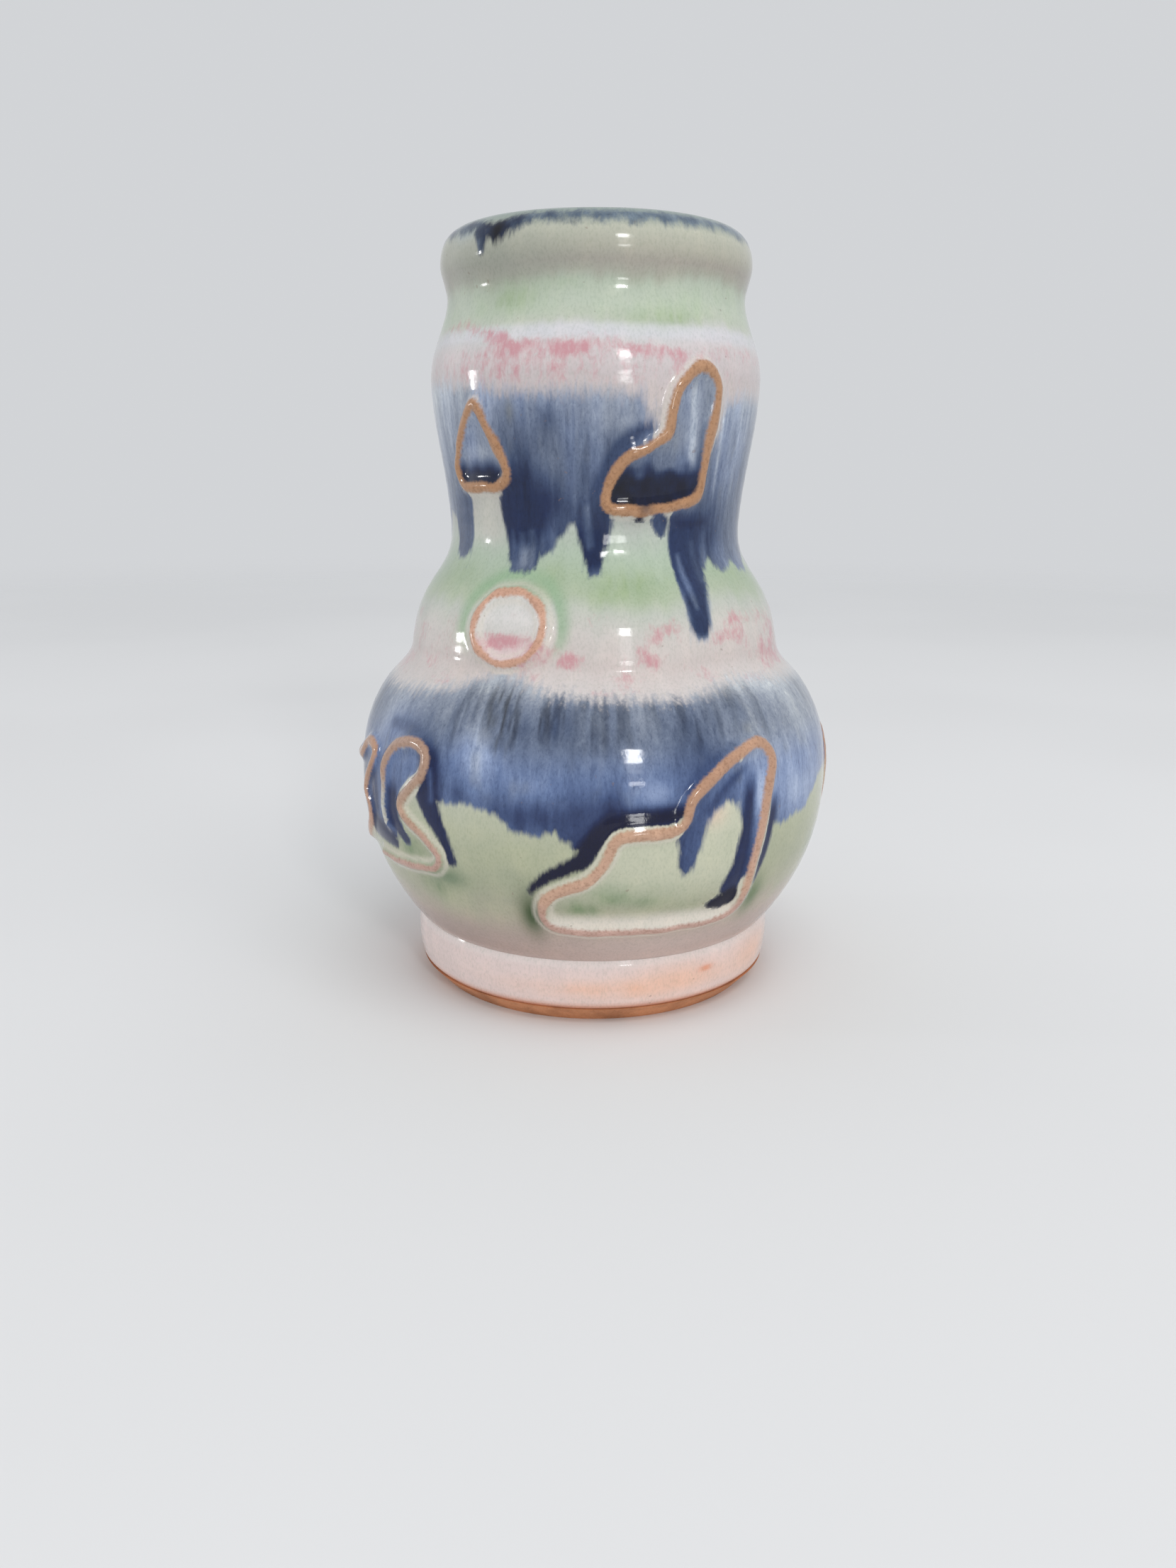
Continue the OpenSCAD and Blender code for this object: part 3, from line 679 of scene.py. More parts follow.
def blue_cover(runs):
    """How far each point lies inside the blue glazes, in mm"""
    upper = np.minimum(-above(edge(UPPER_TOP) + comb(20, 0.15)) * 0.3,
                       above(edge(UPPER_BOTTOM) + comb(22, 0.12)) * 0.9)
    lower_floor = above(edge(LOWER_BOTTOM) + comb(24, 0.2)) * 0.8
    hill_floor = above(edge(HILL_FILL) + comb(26, 0.1)) * 0.8
    lower = np.where(WITHIN["hill_ridge"], hill_floor, lower_floor)
    lower = np.minimum(-above(edge(LOWER_TOP) + comb(28, 0.35)) * 0.4, lower)
    cover = np.maximum(upper, lower)
    for name in POOLED:
        cover = np.where(WITHIN[name], 3.0, cover)
    for name in OPEN:
        cover = np.where(WITHIN[name], -3.0, cover)
    for _, deep, shown in runs:
        cover = np.maximum(cover, np.where(shown > 0.3, deep, -FAR))
    return np.maximum(cover, stroke([(-50, 46.5, 3), (-48, 47.4, 2.6)]))


# Tone, from bare to black, by height and by angle in the upper and the lower blue
UPPER_TONE = [(78, 0.6), (86, 0.72), (92, 0.74), (98, 0.65), (104, 0.51), (108, 0.4), (111, 0.28),
              (114, 0.1)]
UPPER_SIDE = [(-180, 0), (-120, -0.06), (-74, -0.28), (-62, -0.24), (-52, -0.14), (-40, -0.02),
              (-26, 0.06), (-12, 0.03), (0, 0), (12, 0), (46, -0.1), (60, -0.2), (80, -0.14),
              (120, 0), (150, -0.05)]
LOWER_TONE = [(28, 0.75), (38, 0.68), (44, 0.62), (48, 0.55), (52, 0.5), (57, 0.48), (60, 0.4),
              (62, 0.2)]
LOWER_SIDE = [(-180, -0.1), (-120, 0), (-75, -0.02), (-60, -0.08), (-45, -0.04), (-28, -0.06),
              (-14, 0.04), (0, 0.06), (18, 0.04), (30, -0.06), (42, -0.18), (55, -0.26),
              (70, -0.22), (100, 0), (150, -0.05)]
IRON_SIDE = [(-180, 0.8), (-60, 0.2), (-40, 0.3), (-30, 1), (20, 1), (30, 0.7), (45, 0.8),
             (52, 0.3), (80, 0.6)]

# Colours of the blues at those tones
TONES = np.array([0, 0.25, 0.5, 0.75, 0.92, 1.15])
SLATE = [
    (178, 184, 190), (141, 148, 160), (104, 114, 133), (67, 79, 104), (42, 51, 78), (24, 27, 42)]
COBALT = [
    (170, 182, 204), (132, 147, 178), (99, 116, 151), (66, 80, 114), (41, 49, 80), (23, 28, 50)]
IRON = [(170, 172, 172), (134, 138, 142), (100, 105, 112), (72, 76, 84), (50, 53, 62), (27, 28, 38)]


def ramp(colours, tone):
    """The colour at a tone, between the colours given for TONES"""
    stops = np.array([seen(*c) for c in colours])
    return np.stack([np.interp(tone, TONES, stops[:, i]) for i in range(3)], axis=-1)


def blue_colours(runs):
    """The blue glazes' own colour, from pale and thin to nearly black where it pools"""
    fine = cloud(A, ALONG, 31, 1.5, 8) - 0.5
    broad = cloud(A, ALONG, 32, 8, 12) - 0.5
    upper = smooth(76, 79, Z)
    tone_upper = np.interp(Z, *np.transpose(UPPER_TONE)) + edge(UPPER_SIDE)
    tone_upper += 0.2 * fine + 0.22 * broad + spots(UPPER_PATCHES)
    tone_lower = np.interp(Z, *np.transpose(LOWER_TONE)) + edge(LOWER_SIDE)
    tone_lower += 0.16 * fine + 0.26 * broad + spots(LOWER_PATCHES)
    iron = 0.5 * smooth(0.48, 0.75, cloud(A, ALONG, 33, 2, 14)) * edge(IRON_SIDE)
    iron *= belt(51, 56, 61.5, 64)
    for a, width, low, much in IRON_STREAKS:
        streak = bell(turn(A - a) + 6 * fine, width)
        shown = belt(low - 2, low + 4, 61, 64.5)
        iron = np.maximum(iron, much * streak * shown)
    tone_lower += 0.36 * iron
    rust = 0.8 * spot(-29, 108, 1.6, 2) + 0.6 * spot(38, 55.6, 2, 1)
    rust += 0.3 * smooth(0.6, 0.9, cloud(A, ALONG, 35, 3, 6))
    tone = mix(tone_lower, tone_upper, upper)
    for strength, _, shown in runs:
        tone = tone + np.maximum(strength - tone, 0) * shown
    for strength, soft, points in PALE_RUNS:
        tone = tone - strength * smooth(-soft, 0.5, stroke(points))
    tone = inside_tones(tone)
    grey = upper * (0.8 + broad) + smooth(47, 56, Z) * (1 - upper)
    grey = np.clip(grey - 0.8 * spot(-27, 52, 6, 5) - 0.6 * spot(-54, 54, 9, 4), 0, 1)
    colour = mix(ramp(COBALT, tone), ramp(SLATE, tone), grey[..., None])
    iron = np.clip(np.maximum(iron * (1 - upper), rust * smooth(0.8, 0.6, tone)), 0, 1)
    return mix(colour, ramp(IRON, tone), iron[..., None])


def inside_tones(tone):
    """Pools inside the small outlines of the upper band"""
    uneven = 0.7 * waves(A, 51, 20, 60, 6)
    pool = smooth(101.2, 97.4, Z + uneven)
    light = mix(0.36, 0.2, spot(-44, 101.6, 9, 1.6)) - 0.1 * smooth(103, 107, Z)
    tone = np.where(WITHIN["triangle_ridge"], mix(light, 1.06, pool), tone)
    blotchy = cloud(A, ALONG, 52, 3, 2) - 0.5
    pool = smooth(100.2, 96.4, Z + 1.5 * uneven + 3 * blotchy) * mix(1, 0.84, smooth(31, 35, A))
    light = mix(0.56, 0.36, smooth(99, 104, Z)) - 0.05 * smooth(108, 112, Z)
    pale = bell(A - 33.6 + (Z - 106) * 0.12, 1.6)
    light -= 0.38 * pale * belt(97, 101, 110, 114)
    light += 0.2 * bell(A - 37.4, 1.1) * smooth(110, 104, Z)
    tone = np.where(WITHIN["boot_ridge"], mix(light, 1.1 + 0.16 * blotchy, pool), tone)
    for name in ("back_triangle_ridge", "back_leaf_ridge"):
        tone = np.where(WITHIN[name], mix(0.4, 1.05, smooth(103, 97.6, Z + 1.6 * uneven)), tone)
    # a pale streak beside the boot
    streak = bell(turn(A - 47.2 + (Z - 104) * 0.05), 0.8)
    return tone - 0.3 * streak * belt(92, 96, 110, 113) * ~WITHIN["boot_ridge"]


# ---------------------------------------------------------------- relief
def relief(cover, runs):
    """How far the glazed surface stands out from the turned outline, in mm"""
    rings = 0.012 * np.sin(ALONG * 2 * math.pi / 3.1 + 0.6 * waves(A, 60, 1, 3, 3))
    rings += 0.008 * np.sin(ALONG * 2 * math.pi / 1.35 + waves(A, 61, 1, 4, 3))
    uneven = 0.10 * (cloud(A, ALONG, 62, 40, 22) - 0.5) + 0.06 * (cloud(A, ALONG, 63, 9, 8) - 0.5)
    glaze = 0.06 * smooth(-1, 2, cover)
    fillet = np.zeros_like(A)
    for (strength, deep, shown), (_, _, fade, _) in zip(runs, DARK_RUNS):
        glaze = np.maximum(glaze, 0.24 * (strength - 0.3) * smooth(-1.2, 1.6, deep) * shown)
        if not fade:        # a run held up by a ridge climbs it a little
            climb = bell(GAP, 2.4) * smooth(0.4, 1.2, GAP)
            fillet = np.maximum(fillet, 0.34 * shown * climb)
    for name in POOLED:
        glaze = np.where(WITHIN[name], 0.06 + 0.2 * smooth(102, 97, Z), glaze)
    lumps = 1 + 0.05 * np.sin(WAY * 47 + OWNER)
    half = RIDGE_HALF * (1 + 0.05 * np.sin(WAY * 63 + 3 * OWNER))
    bump = RIDGE_RISE * lumps * np.exp(-(GAP / half) ** RIDGE_SHARP)
    crease = -0.1 * bell(Z - FOOT_TOP, 0.5) * OUTSIDE
    level = -0.15 * smooth(TOP - 2.5, TOP - 0.5, Z)
    ground = (rings + uneven) * mix(0.3, 1, OUTSIDE) + level
    return ground + (glaze * smooth(0.3, 3, GAP) + fillet + bump * (1 - BURIED)) * OUTSIDE + crease


# ---------------------------------------------------------------- meshes
def place(out):
    """The turned surface pushed out along its normals, as points in mm"""
    r = outline[:, :1] + outline_normals[:, :1] * out
    z = outline[:, 1:] + outline_normals[:, 1:] * out
    a = np.radians(angles)
    return np.stack([r * np.sin(a), -r * np.cos(a), z * np.ones_like(a)], axis=-1)


def grid_normals(points):
    """Outward normals of a grid of points that closes round the vase"""
    around = np.roll(points, -1, axis=1) - np.roll(points, 1, axis=1)
    up = np.gradient(points, axis=0)
    n = np.cross(around, up)
    length = np.linalg.norm(n, axis=-1, keepdims=True)
    flat = length[..., 0] < 1e-9
    n = n / np.maximum(length, 1e-9)
    n[flat] = (0, 0, 1)
    return n


def grid_triangles(first, last):
    """Triangles of the grid rows first to last; a row on the axis is one point"""
    index = np.arange((last + 1) * COLUMNS).reshape(-1, COLUMNS)
    on_axis = outline[:last + 1, 0] < 1e-3
    index[on_axis] = index[on_axis][:, :1]
    a = index[first:last]
    b = np.roll(a, -1, axis=1)
    d = index[first + 1:last + 1]
    c = np.roll(d, -1, axis=1)
    tris = np.concatenate([np.stack(three, -1).reshape(-1, 3) for three in ([a, b, c], [a, c, d])])
    keep = (tris[:, 0] != tris[:, 1]) & (tris[:, 1] != tris[:, 2]) & (tris[:, 2] != tris[:, 0])
    return tris[keep]


def cut(tris, value, data):
    """Splits triangles where value changes sign. data is one row of numbers per vertex."""
    value = np.where(np.abs(value) < 1e-4, 1e-4, value)
    side = value[tris] > 0
    whole_ones = side.all(1) | ~side.any(1)
    crossed = tris[~whole_ones]
    odd_one = side[~whole_ones].sum(1) == 1
    lone = np.where(odd_one, side[~whole_ones].argmax(1), (~side[~whole_ones]).argmax(1))
    p, q, r = (crossed[np.arange(len(crossed)), (lone + k) % 3] for k in range(3))
    edges = np.stack([np.column_stack([p, q]), np.column_stack([p, r])], 1)
    edges = np.sort(edges, axis=2).reshape(-1, 2)
    unique, inverse = np.unique(edges, axis=0, return_inverse=True)
    va, vb = value[unique[:, 0]], value[unique[:, 1]]
    t = (va / (va - vb))[:, None]
    data = np.vstack([data, data[unique[:, 0]] * (1 - t) + data[unique[:, 1]] * t])
    new = inverse.reshape(-1, 2) + len(value)
    pq, pr = new[:, 0], new[:, 1]
    tips = np.column_stack([p, pq, pr])
    rest = np.vstack([np.column_stack([pq, q, r]), np.column_stack([pq, r, pr])])
    positive = [tris[side.all(1)], tips[odd_one], rest[np.tile(~odd_one, 2)]]
    negative = [tris[~side.any(1)], tips[~odd_one], rest[np.tile(odd_one, 2)]]
    return np.vstack(positive), np.vstack(negative), data


LAYERS = [("cover", 1), ("bare", 1), ("rose", 1), ("ground", 3), ("wash", 3), ("slip", 3)]
FIRST_LAYER = 9          # a row of data starts with its glazed point, its clay point and its normal


def add_object(name, data):
    """Puts a mesh, light or camera into the scene"""
    thing = bpy.data.objects.new(name, data)
    bpy.context.scene.collection.objects.link(thing)
    return thing


def solid(name, tris, data, material, node):
    """A closed piece: the faces of the surface, the same faces at the clay, and walls between"""
    used, tris = np.unique(tris, return_inverse=True)
    tris = tris.reshape(-1, 3)
    data = data[used]
    n = len(used)
    top, base, normal = data[:, 0:3], data[:, 3:6], data[:, 6:9]
    normal = unit(normal)
    edges = np.vstack([tris[:, [0, 1]], tris[:, [1, 2]], tris[:, [2, 0]]])
    _, index, count = np.unique(np.sort(edges, axis=1), axis=0, return_index=True,
                                return_counts=True)
    a, b = edges[index[count == 1]].T
    walls = np.vstack([np.column_stack([a, a + n, b]), np.column_stack([b, a + n, b + n])])
    faces = np.vstack([tris, tris[:, ::-1] + n, walls])
    mesh = bpy.data.meshes.new(name)
    mesh.vertices.add(2 * n)
    mesh.vertices.foreach_set("co", (np.vstack([top, base]) * MM).ravel())
    mesh.loops.add(faces.size)
    mesh.loops.foreach_set("vertex_index", faces.ravel().astype(np.int32))
    mesh.polygons.add(len(faces))
    mesh.polygons.foreach_set("loop_start", np.arange(0, faces.size, 3, dtype=np.int32))
    mesh.update(calc_edges=True)
    mesh.validate()
    mesh.shade_smooth()
    mesh.normals_split_custom_set_from_vertices(np.vstack([normal, -normal]))
    column = FIRST_LAYER
    for layer, width in LAYERS:
        values = np.vstack([data[:, column:column + width]] * 2)
        column += width
        if width == 1:
            attribute = mesh.attributes.new(layer, "FLOAT", "POINT")
            attribute.data.foreach_set("value", values.ravel())
        else:
            values = np.column_stack([values, np.ones(2 * n)])
            attribute = mesh.attributes.new(layer, "FLOAT_COLOR", "POINT")
            attribute.data.foreach_set("color", values.ravel())
    mesh.materials.append(material)
    piece = add_object(name, mesh)
    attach(piece, "root")
    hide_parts(node)


# ---------------------------------------------------------------- node materials
GLAZE_IOR = 1.43
RANGE_SOCKETS = ("From Min", "From Max", "To Min", "To Max")
MIX_A, MIX_B, MIX_RESULT = 6, 7, 2    # a Mix node's sockets for colours


class Nodes:
    """Short names for making and joining shader nodes"""

    def __init__(self, name):
        self.material = bpy.data.materials.new(name)
        self.material.use_nodes = True
        self.tree = self.material.node_tree
        self.shader = self.tree.nodes["Principled BSDF"]
        self.place = self.add("ShaderNodeTexCoord").outputs["Object"]

    def add(self, kind, **settings):
        node = self.tree.nodes.new(kind)
        for key, value in settings.items():
            setattr(node, key, value)
        return node

    def join(self, value, socket):
        """Joins an output to a socket, or sets the socket to a number or colour"""
        if isinstance(value, bpy.types.NodeSocket):
            self.tree.links.new(value, socket)
        else:
            socket.default_value = value

    def shade(self, socket, value):
        """Gives a socket of the shader a value, or joins it to one"""
        self.join(value, self.shader.inputs[socket])

    def layer(self, name, colour=False):
        """A painted layer of the mesh"""
        node = self.add("ShaderNodeAttribute", attribute_name=name)
        return node.outputs["Color" if colour else "Fac"]

    def noise(self, per_mm, detail=2.0, rough=0.5, stretch=1.0, warp=0.0):
        """Noise fixed to the object, per_mm features a mm, stretched upwards by stretch"""
        scale = self.add("ShaderNodeMapping")
        self.join(self.place, scale.inputs["Vector"])
        scale.inputs["Scale"].default_value = (1, 1, 1 / stretch)
        node = self.add("ShaderNodeTexNoise")
        self.join(scale.outputs["Vector"], node.inputs["Vector"])
        node.inputs["Scale"].default_value = per_mm / MM
        node.inputs["Detail"].default_value = detail
        node.inputs["Roughness"].default_value = rough
        node.inputs["Distortion"].default_value = warp
        return node.outputs["Fac"]

    def maths(self, operation, *values):
        node = self.add("ShaderNodeMath", operation=operation)
        for value, socket in zip(values, node.inputs):
            self.join(value, socket)
        return node.outputs[0]

    def ragged(self, value, noise, depth):
        """A value moved up and down by a noise, so that its edge breaks up"""
        shift = self.maths("MULTIPLY", self.maths("SUBTRACT", noise, 0.5), depth)
        return self.maths("ADD", value, shift)

    def scaled(self, value, low, high, new_low=0.0, new_high=1.0):
        """A value carried smoothly from one range to another, and held at its ends"""
        node = self.add("ShaderNodeMapRange", interpolation_type="SMOOTHSTEP")
        self.join(value, node.inputs["Value"])
        for socket, number in zip(RANGE_SOCKETS, (low, high, new_low, new_high)):
            node.inputs[socket].default_value = number
        return node.outputs["Result"]

    def blend(self, a, b, amount, kind="MIX"):
        node = self.add("ShaderNodeMix", data_type="RGBA", blend_type=kind)
        self.join(amount, node.inputs["Factor"])
        self.join(a, node.inputs[MIX_A])
        self.join(b, node.inputs[MIX_B])
        return node.outputs[MIX_RESULT]

    def tint(self, colour, noise, low, high, times):
        """A colour multiplied by another where a noise goes from low to high"""
        return self.blend(colour, (*times, 1), self.scaled(noise, low, high), "MULTIPLY")

    def bump(self, height, distance_mm, strength=1.0, onto=None):
        node = self.add("ShaderNodeBump")
        node.inputs["Strength"].default_value = strength
        node.inputs["Distance"].default_value = distance_mm * MM
        self.join(height, node.inputs["Height"])
        if onto is not None:
            self.join(onto, node.inputs["Normal"])
        return node.outputs["Normal"]


def rgba(colour):
    """A glaze colour for a shader socket"""
    return (*seen(*colour), 1)


def glaze_material(name):
    """Layered glaze: the painted layers with fine streaks, mottling, iron specks and gloss"""
    m = Nodes(name)
    streak = m.noise(0.9, detail=4, rough=0.62, stretch=4.2, warp=0.6)
    thread = m.noise(2.0, detail=2, rough=0.5, stretch=4.5, warp=0.3)
    fine = m.noise(2.6, detail=3, rough=0.6, stretch=1.8)
    mottle = m.noise(0.28, detail=4, rough=0.6, stretch=1.6)

    ground = m.layer("ground", True)
    ground = m.tint(ground, mottle, 0.4, 0.75, (1.08, 1.06, 1.05))
    ground = m.tint(ground, fine, 0.42, 0.72, (0.88, 0.90, 0.88))
    rose = m.layer("rose")
    flecks = m.noise(0.9, detail=4, rough=0.7, stretch=2, warp=0.4)
    shown = m.scaled(m.ragged(rose, flecks, 2.0), 0.12, 1.15, 0, 0.78)
    shown = m.maths("MULTIPLY", shown, m.scaled(rose, 0, 0.16))
    ground = m.blend(ground, rgba((188, 128, 136)), shown)

    wash = m.layer("wash", True)
    wash = m.tint(wash, streak, 0.5, 0.78, (1.34, 1.30, 1.22))
    wash = m.tint(wash, streak, 0.5, 0.25, (0.66, 0.69, 0.75))
    wash = m.tint(wash, thread, 0.5, 0.75, (1.16, 1.15, 1.12))
    wash = m.tint(wash, fine, 0.45, 0.72, (0.76, 0.78, 0.82))
    cover = m.ragged(m.ragged(m.layer("cover"), streak, 1.3), thread, 0.7)
    colour = m.blend(ground, wash, m.scaled(cover, -0.55, 0.6))

    grain = m.noise(1.7, detail=3, rough=0.6)
    slip = m.layer("slip", True)
    slip = m.tint(slip, grain, 0.44, 0.72, (0.74, 0.70, 0.66))
    slip = m.tint(slip, mottle, 0.5, 0.74, (1.2, 1.22, 1.24))
    bare = m.ragged(m.layer("bare"), grain, 0.8)
    colour = m.blend(colour, slip, m.scaled(bare, -0.3, 0.34, 0, 0.95))

    specks = m.scaled(m.noise(0.9, detail=1, rough=0.4), 0.765, 0.81, 0, 0.35)
    colour = m.blend(colour, rgba((120, 100, 90)), specks)
    m.shade("Base Color", colour)
    m.shade("Roughness", m.scaled(mottle, 0.3, 0.7, 0.07, 0.13))
    m.shade("IOR", GLAZE_IOR)
    peel = m.bump(m.noise(0.5, detail=2, rough=0.5), 0.05, 0.5)
    m.shade("Normal", m.bump(fine, 0.012, 0.5, onto=peel))
    return m.material


def clay_material():
    """Bare fired stoneware: sandy, matt, a little scorched"""
    m = Nodes("bare_stoneware")
    sand = m.noise(2.2, detail=4, rough=0.7)
    patch = m.noise(0.12, detail=3, rough=0.6)
    colour = m.blend(rgba((200, 140, 102)), rgba((164, 112, 80)), m.scaled(patch, 0.35, 0.7))
    colour = m.blend(colour, rgba((122, 84, 62)), m.scaled(sand, 0.55, 0.75, 0, 0.6))
    colour = m.blend(colour, rgba((198, 160, 132)), m.scaled(sand, 0.42, 0.28, 0, 0.5))
    m.shade("Base Color", colour)
    m.shade("Roughness", m.scaled(sand, 0.3, 0.7, 0.62, 0.85))
    m.shade("Normal", m.bump(sand, 0.12, 0.6))
    return m.material


# ---------------------------------------------------------------- the pieces
def bare_slip():
    """How far inside a ridge's brown crest each point lies, in mm, and the colour it has there"""
    # ridges are thinner and paler low on the belly, where the glaze veils them
    low_ones = owned("hill_ridge", "side_ridge", "back_hill_ridge", "back_arch_ridge")
    low = smooth(28, 23.4, Z) * low_ones
    low = np.maximum(low, smooth(40, 33, Z) * owned("loop_ridge"))
    veiled = smooth(0.22, 0.13, WAY) * owned("loop_ridge")
    round_ones = owned("ring_ridge", "back_ring_ridge") * 1.0
    half = CREST_HALF + 0.1 * np.sin(WAY * 39 + OWNER) + 0.12 * smooth(60, 50, Z)
    half = half - 0.4 * np.clip(low + veiled, 0, 1) - 0.24 * round_ones
    paint = Paint((170, 130, 98))
    paint.lay((176, 138, 112), smooth(70, 54, Z))
    paint.lay((190, 154, 134), smooth(46, 34, Z) * 0.85)
    paint.lay((182, 148, 136), low)
    paint.lay((166, 140, 124), 0.7 * smooth(34, 42, Z) * owned("loop_ridge"))
    paint.lay((192, 192, 184), veiled)
    paint.lay((88, 76, 74), 0.75 * spot(17.4, 92.4, 2.4, 1.3) * owned("boot_ridge"))
    paint.lay((192, 150, 128), round_ones)
    return half - GAP, paint.rgb


def paint_lip(ground, cover, wash):
    """The navy line at the crest, fading towards the right, and the throat's own glaze"""
    past_crest = ROW > CREST_ROW
    inner = smooth(LIP_END - 6, LIP_END + 8, ROW)
    line = 137.4 + 0.3 * waves(angles, 70, 5, 40, 10) + 0.12 * waves(angles, 71, 60, 160, 14)
    blotch = bell(turn(angles + 37), 7.5)
    line = line - 2.6 * blotch
    uneven = cloud(A, ALONG, 72, 4, 2) - 0.5
    band = np.minimum((Z - line) * 0.55, (TOP - 0.8 - 1.1 * blotch - Z) * 0.8)
    navy = np.where(past_crest, -1.0, band) + 0.5 * uneven
    navy = np.maximum(navy, stroke([(-44, 137, 1.6), (-43, 135.4, 1.2), (-43, 133.8, 0.6)]))
    navy = np.where(ROW < SKIN_END - 10, -9, navy)
    tone = 0.7 + 0.3 * blotch - 0.22 * smooth(-25, 20, turn(angles)) + 0.4 * uneven
    near_lip = (navy > -3)[..., None]
    colour = mix(ramp(SLATE, tone), ramp(IRON, tone), 0.5) * (0.92, 1.04, 1.02)
    wash[:] = np.where(near_lip, colour, wash)
    np.maximum(cover, navy, out=cover)
    ground.lay((146, 158, 168), 0.6 * spot(-53, 137.4, 9, 1.6) * ~past_crest)
    ground.lay((182, 186, 172), inner * past_crest)


def foot_band():
    """The band of the foot: its colours, pinkish white with an orange blush, and its relief"""
    blush = cloud(A, ALONG, 80, 6, 1.5)
    paint = Paint((217, 200, 196))
    paint.lay((222, 212, 208), smooth(10.8, 12.4, Z) * 0.8)
    paint.lay((226, 180, 154), 0.8 * spot(12, 7.2, 34, 2.2) * (0.5 + 0.6 * blush))
    paint.lay((226, 180, 154), 0.5 * spot(26, 8.6, 14, 3) + 0.6 * spot(60, 8, 14, 4))
    paint.lay((214, 138, 102), 0.85 * spot(36, 9, 2.6, 0.6))
    for a in (95, 150, -160, -110):
        paint.lay((224, 178, 148), 0.6 * spot(a, 8, 22, 2) * cloud(A, ALONG, 81, 5, 1.5))
    paint.lay((206, 152, 128), smooth(5, 3.4, Z) * 0.85)
    roll = 0.45 * (1 - np.sqrt(smooth(3.1, 4.4, Z)))
    out = 0.03 * np.sin(Z * 3.4) + 0.07 * (cloud(A, ALONG, 82, 14, 3) - 0.5)
    out = out - roll - 0.2 * smooth(12.0, 12.9, Z)
    return paint.rgb, out


def make_glazes():
    """Paints the surface, gives it relief, and cuts it into its fifteen pieces"""
    runs = drawn_runs()
    cover = blue_cover(runs)
    ground = ground_colours_and_painted_light()
    wash = blue_colours(runs)
    paint_lip(ground, cover, wash)
    bare, slip = bare_slip()
    bare = np.where(ON_WALL, bare, -3) - 4 * BURIED
    # glaze thins to cream along both sides of a ridge
    thin = smooth(0.8, 1.2, GAP) * smooth(2.1, 1.4, GAP) * (1 - BURIED)
    ground.lay((208, 200, 188), mix(0.55, 0.4, smooth(55, 70, Z)) * thin)
    cover = cover - mix(1.3, 0.7, smooth(70, 90, Z)) * smooth(1.9, 1.1, GAP) * (1 - BURIED)
    out = relief(cover, runs)
    band_rgb, band_out = foot_band()
    on_band = ROW < WALL_START
    ground.rgb[on_band] = band_rgb[on_band]
    cover = np.where(on_band | (ROW > LIP_END), -5, cover)
    out = np.where(on_band, band_out, out)
    top = place(out)
    base = place(-mix(LINER_COAT, COAT, OUTSIDE))
    normals = np.concatenate([grid_normals(part) for part in (top[:WALL_START], top[WALL_START:])])
    floats = [layer[..., None] for layer in (cover, np.maximum(bare, -3), rose_amount())]
    data = np.concatenate([top, base, normals, *floats, ground.rgb, wash, slip], axis=-1)
    data = data.reshape(-1, data.shape[-1])
    glaze = glaze_material("running_glaze")

    skin = grid_triangles(WALL_START, SKIN_END)
    on_ridge, off_ridge, cut_data = cut(skin, RIDGE_CUT - GAP.ravel(), data)
    solid("glaze_bands", off_ridge, cut_data, glaze, "outer_glaze")
    owner = np.r_[OWNER.ravel(), np.full(len(cut_data) - OWNER.size, -1)]
    nearest = owner[on_ridge].max(axis=1)
    for i, name in enumerate(RIDGE_NAMES):
        solid("slip_" + name, on_ridge[nearest == i], cut_data, glaze, name)
    solid("glaze_lip", grid_triangles(SKIN_END, LIP_END), data, glaze, "rim_glaze")
    last = len(outline) - 1
    solid("glaze_inside", grid_triangles(LIP_END, last), data, glaze, "liner_glaze")
    band = grid_triangles(0, WALL_START - 1)
    band_glaze = glaze_material("foot_band_glaze")
    solid("glaze_foot_band", band, data, band_glaze, "foot_glaze")


make_glazes()
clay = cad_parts["clay_body"].data
clay.materials.clear()
clay.materials.append(clay_material())


# ---------------------------------------------------------------- studio
BACKDROP = (0.95, 0.97, 1.0)
AMBIENT = 0.68           # brightness of the room
GLOW = 1.1               # brightness of its hazy side
GLOW_AZIMUTH = -112
GLOW_EDGE = 0.88         # cosine of the angle from its middle at which it starts
WINDOW_AWAY = 1.1        # distance of the windows, in metres
PANE_WIDE = 0.14
PANES = [(0.548, 0.15, 32), (0.334, 0.165, 2.4), (0.137, 0.11, 11)]    # middle, tall, brightness
AIM = (0, 0, 0.07)       # the middle of the vase
FADE = (0.35, 1.3)       # the floor fades into the backdrop between these distances, in metres


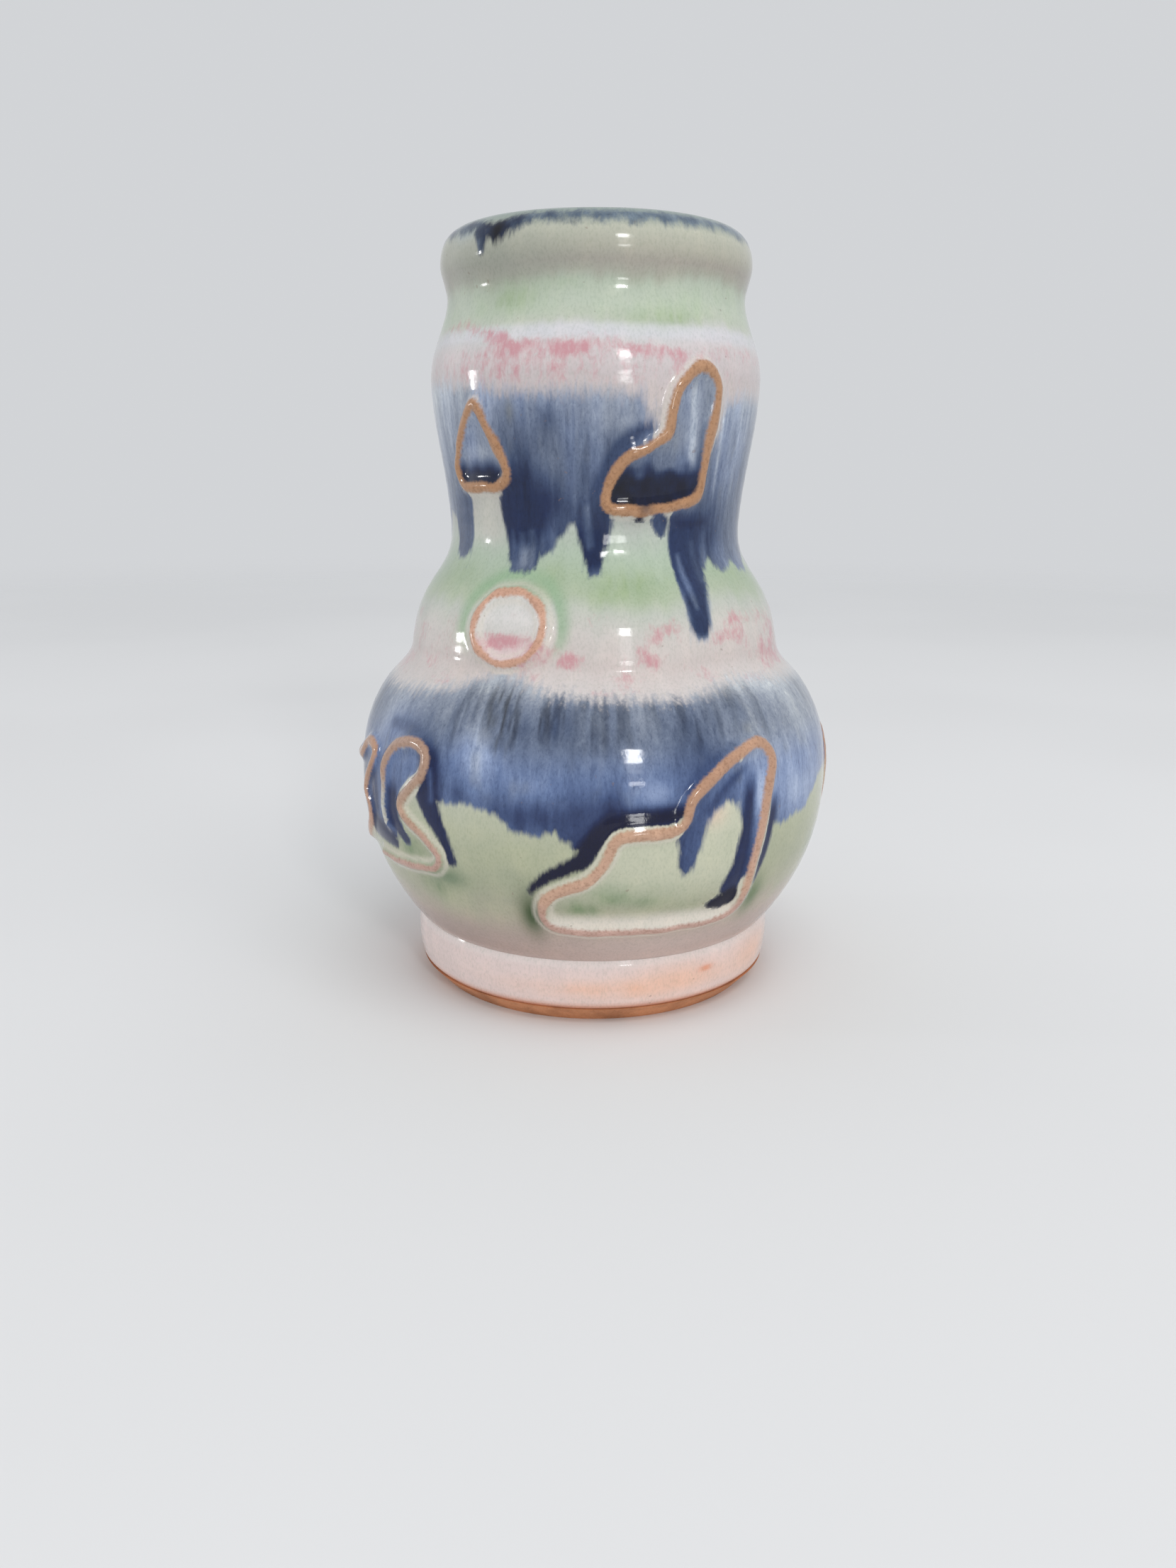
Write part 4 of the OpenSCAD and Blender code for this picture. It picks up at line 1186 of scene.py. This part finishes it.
def make_floor(radius=1.5, steps=96):
    """A wide pale floor that fades into the backdrop"""
    turns = [2 * math.pi * i / steps for i in range(steps)]
    ring = [(radius * math.cos(t), radius * math.sin(t), 0) for t in turns]
    mesh = bpy.data.meshes.new("floor")
    mesh.from_pydata(ring, [], [list(range(steps))])
    piece = add_object("floor", mesh)
    m = Nodes("pale_floor")
    soft = m.scaled(m.noise(0.004, detail=2), 0.4, 0.6)
    m.shade("Base Color", m.blend((0.80, 0.80, 0.80, 1), (0.78, 0.78, 0.78, 1), soft))
    m.shade("Roughness", 0.9)
    m.shade("Specular IOR Level", 0.2)
    far = m.add("ShaderNodeVectorMath", operation="LENGTH")
    m.join(m.place, far.inputs[0])
    clear = m.add("ShaderNodeBsdfTransparent").outputs[0]
    faded = m.add("ShaderNodeMixShader")
    m.join(m.scaled(far.outputs["Value"], *FADE), faded.inputs[0])
    m.join(m.shader.outputs[0], faded.inputs[1])
    m.join(clear, faded.inputs[2])
    m.join(faded.outputs[0], m.tree.nodes["Material Output"].inputs["Surface"])
    mesh.materials.append(m.material)


def lamp(name, azimuth, height, distance, size, brightness, colour=(1, 1, 1), glossy=True):
    """A soft rectangular light at an angle round the vase, aimed at its middle"""
    data = bpy.data.lights.new(name, "AREA")
    data.shape = "RECTANGLE"
    data.size, data.size_y = size
    data.energy = brightness * math.pi * size[0] * size[1]
    data.color = colour
    light = add_object(name, data)
    light.visible_glossy = glossy
    a = math.radians(azimuth)
    stand = np.array([distance * math.sin(a), -distance * math.cos(a), height])
    back = unit(stand - AIM)
    side = unit(np.cross((0, 0, 1), back))
    set_frame(light, side, np.cross(back, side), back, stand)


def set_frame(thing, x, y, z, origin):
    """Puts a thing at origin with its own axes along x, y and z"""
    rows = [[*row, p] for row, p in zip(np.column_stack([x, y, z]), origin)]
    thing.matrix_world = Matrix(rows + [[0, 0, 0, 1]])


def make_studio():
    """The floor, the light of the room, a soft key light and the windows"""
    make_floor()
    world = bpy.data.worlds.new("soft_room")
    bpy.context.scene.world = world
    world.use_nodes = True
    tree = world.node_tree
    background = tree.nodes["Background"]
    background.inputs["Color"].default_value = (*BACKDROP, 1)
    # an even light all round, with a soft glow from the left
    toward = tree.nodes.new("ShaderNodeVectorMath")
    toward.operation = "DOT_PRODUCT"
    tree.links.new(tree.nodes.new("ShaderNodeTexCoord").outputs["Generated"], toward.inputs[0])
    a = math.radians(GLOW_AZIMUTH)
    toward.inputs[1].default_value = (math.sin(a), -math.cos(a), 0.1)
    glow = tree.nodes.new("ShaderNodeMapRange")
    glow.interpolation_type = "SMOOTHSTEP"
    tree.links.new(toward.outputs["Value"], glow.inputs["Value"])
    for socket, number in zip(RANGE_SOCKETS, (GLOW_EDGE, 1, AMBIENT, GLOW)):
        glow.inputs[socket].default_value = number
    tree.links.new(glow.outputs["Result"], background.inputs["Strength"])
    lamp("soft_key", 30, 1.3, 0.6, (0.9, 0.9), 2.2, glossy=False)
    # the panes of one window nearly behind the camera, and another window far to the left
    for i, (height, tall, bright) in enumerate(PANES):
        lamp(f"pane_right_{i}", 19, height, WINDOW_AWAY, (PANE_WIDE, tall), bright)
    lamp("pane_left", -91, 0.17, WINDOW_AWAY, (0.08, 0.1), 36)


make_studio()


CAMERA_AT = (-0.0011, -0.2375, 0.098)
CAMERA_DOWN = 0.2526     # how far the camera looks down, in radians
CAMERA_ROLL = 0.00448    # and leans, in radians


def make_camera():
    """The viewpoint of the reference: close, and looking down a little"""
    data = bpy.data.cameras.new("camera")
    data.lens, data.sensor_width = 27.67, 36
    data.clip_start = 0.01
    camera = add_object("camera", data)
    bpy.context.scene.camera = camera
    forward = np.array([0, math.cos(CAMERA_DOWN), -math.sin(CAMERA_DOWN)])
    up = np.array([0, math.sin(CAMERA_DOWN), math.cos(CAMERA_DOWN)])
    right = np.array([1, 0, 0])
    x = math.cos(CAMERA_ROLL) * right + math.sin(CAMERA_ROLL) * up
    y = -math.sin(CAMERA_ROLL) * right + math.cos(CAMERA_ROLL) * up
    set_frame(camera, x, y, -forward, CAMERA_AT)


make_camera()
bpy.context.scene.view_settings.view_transform = "Standard"
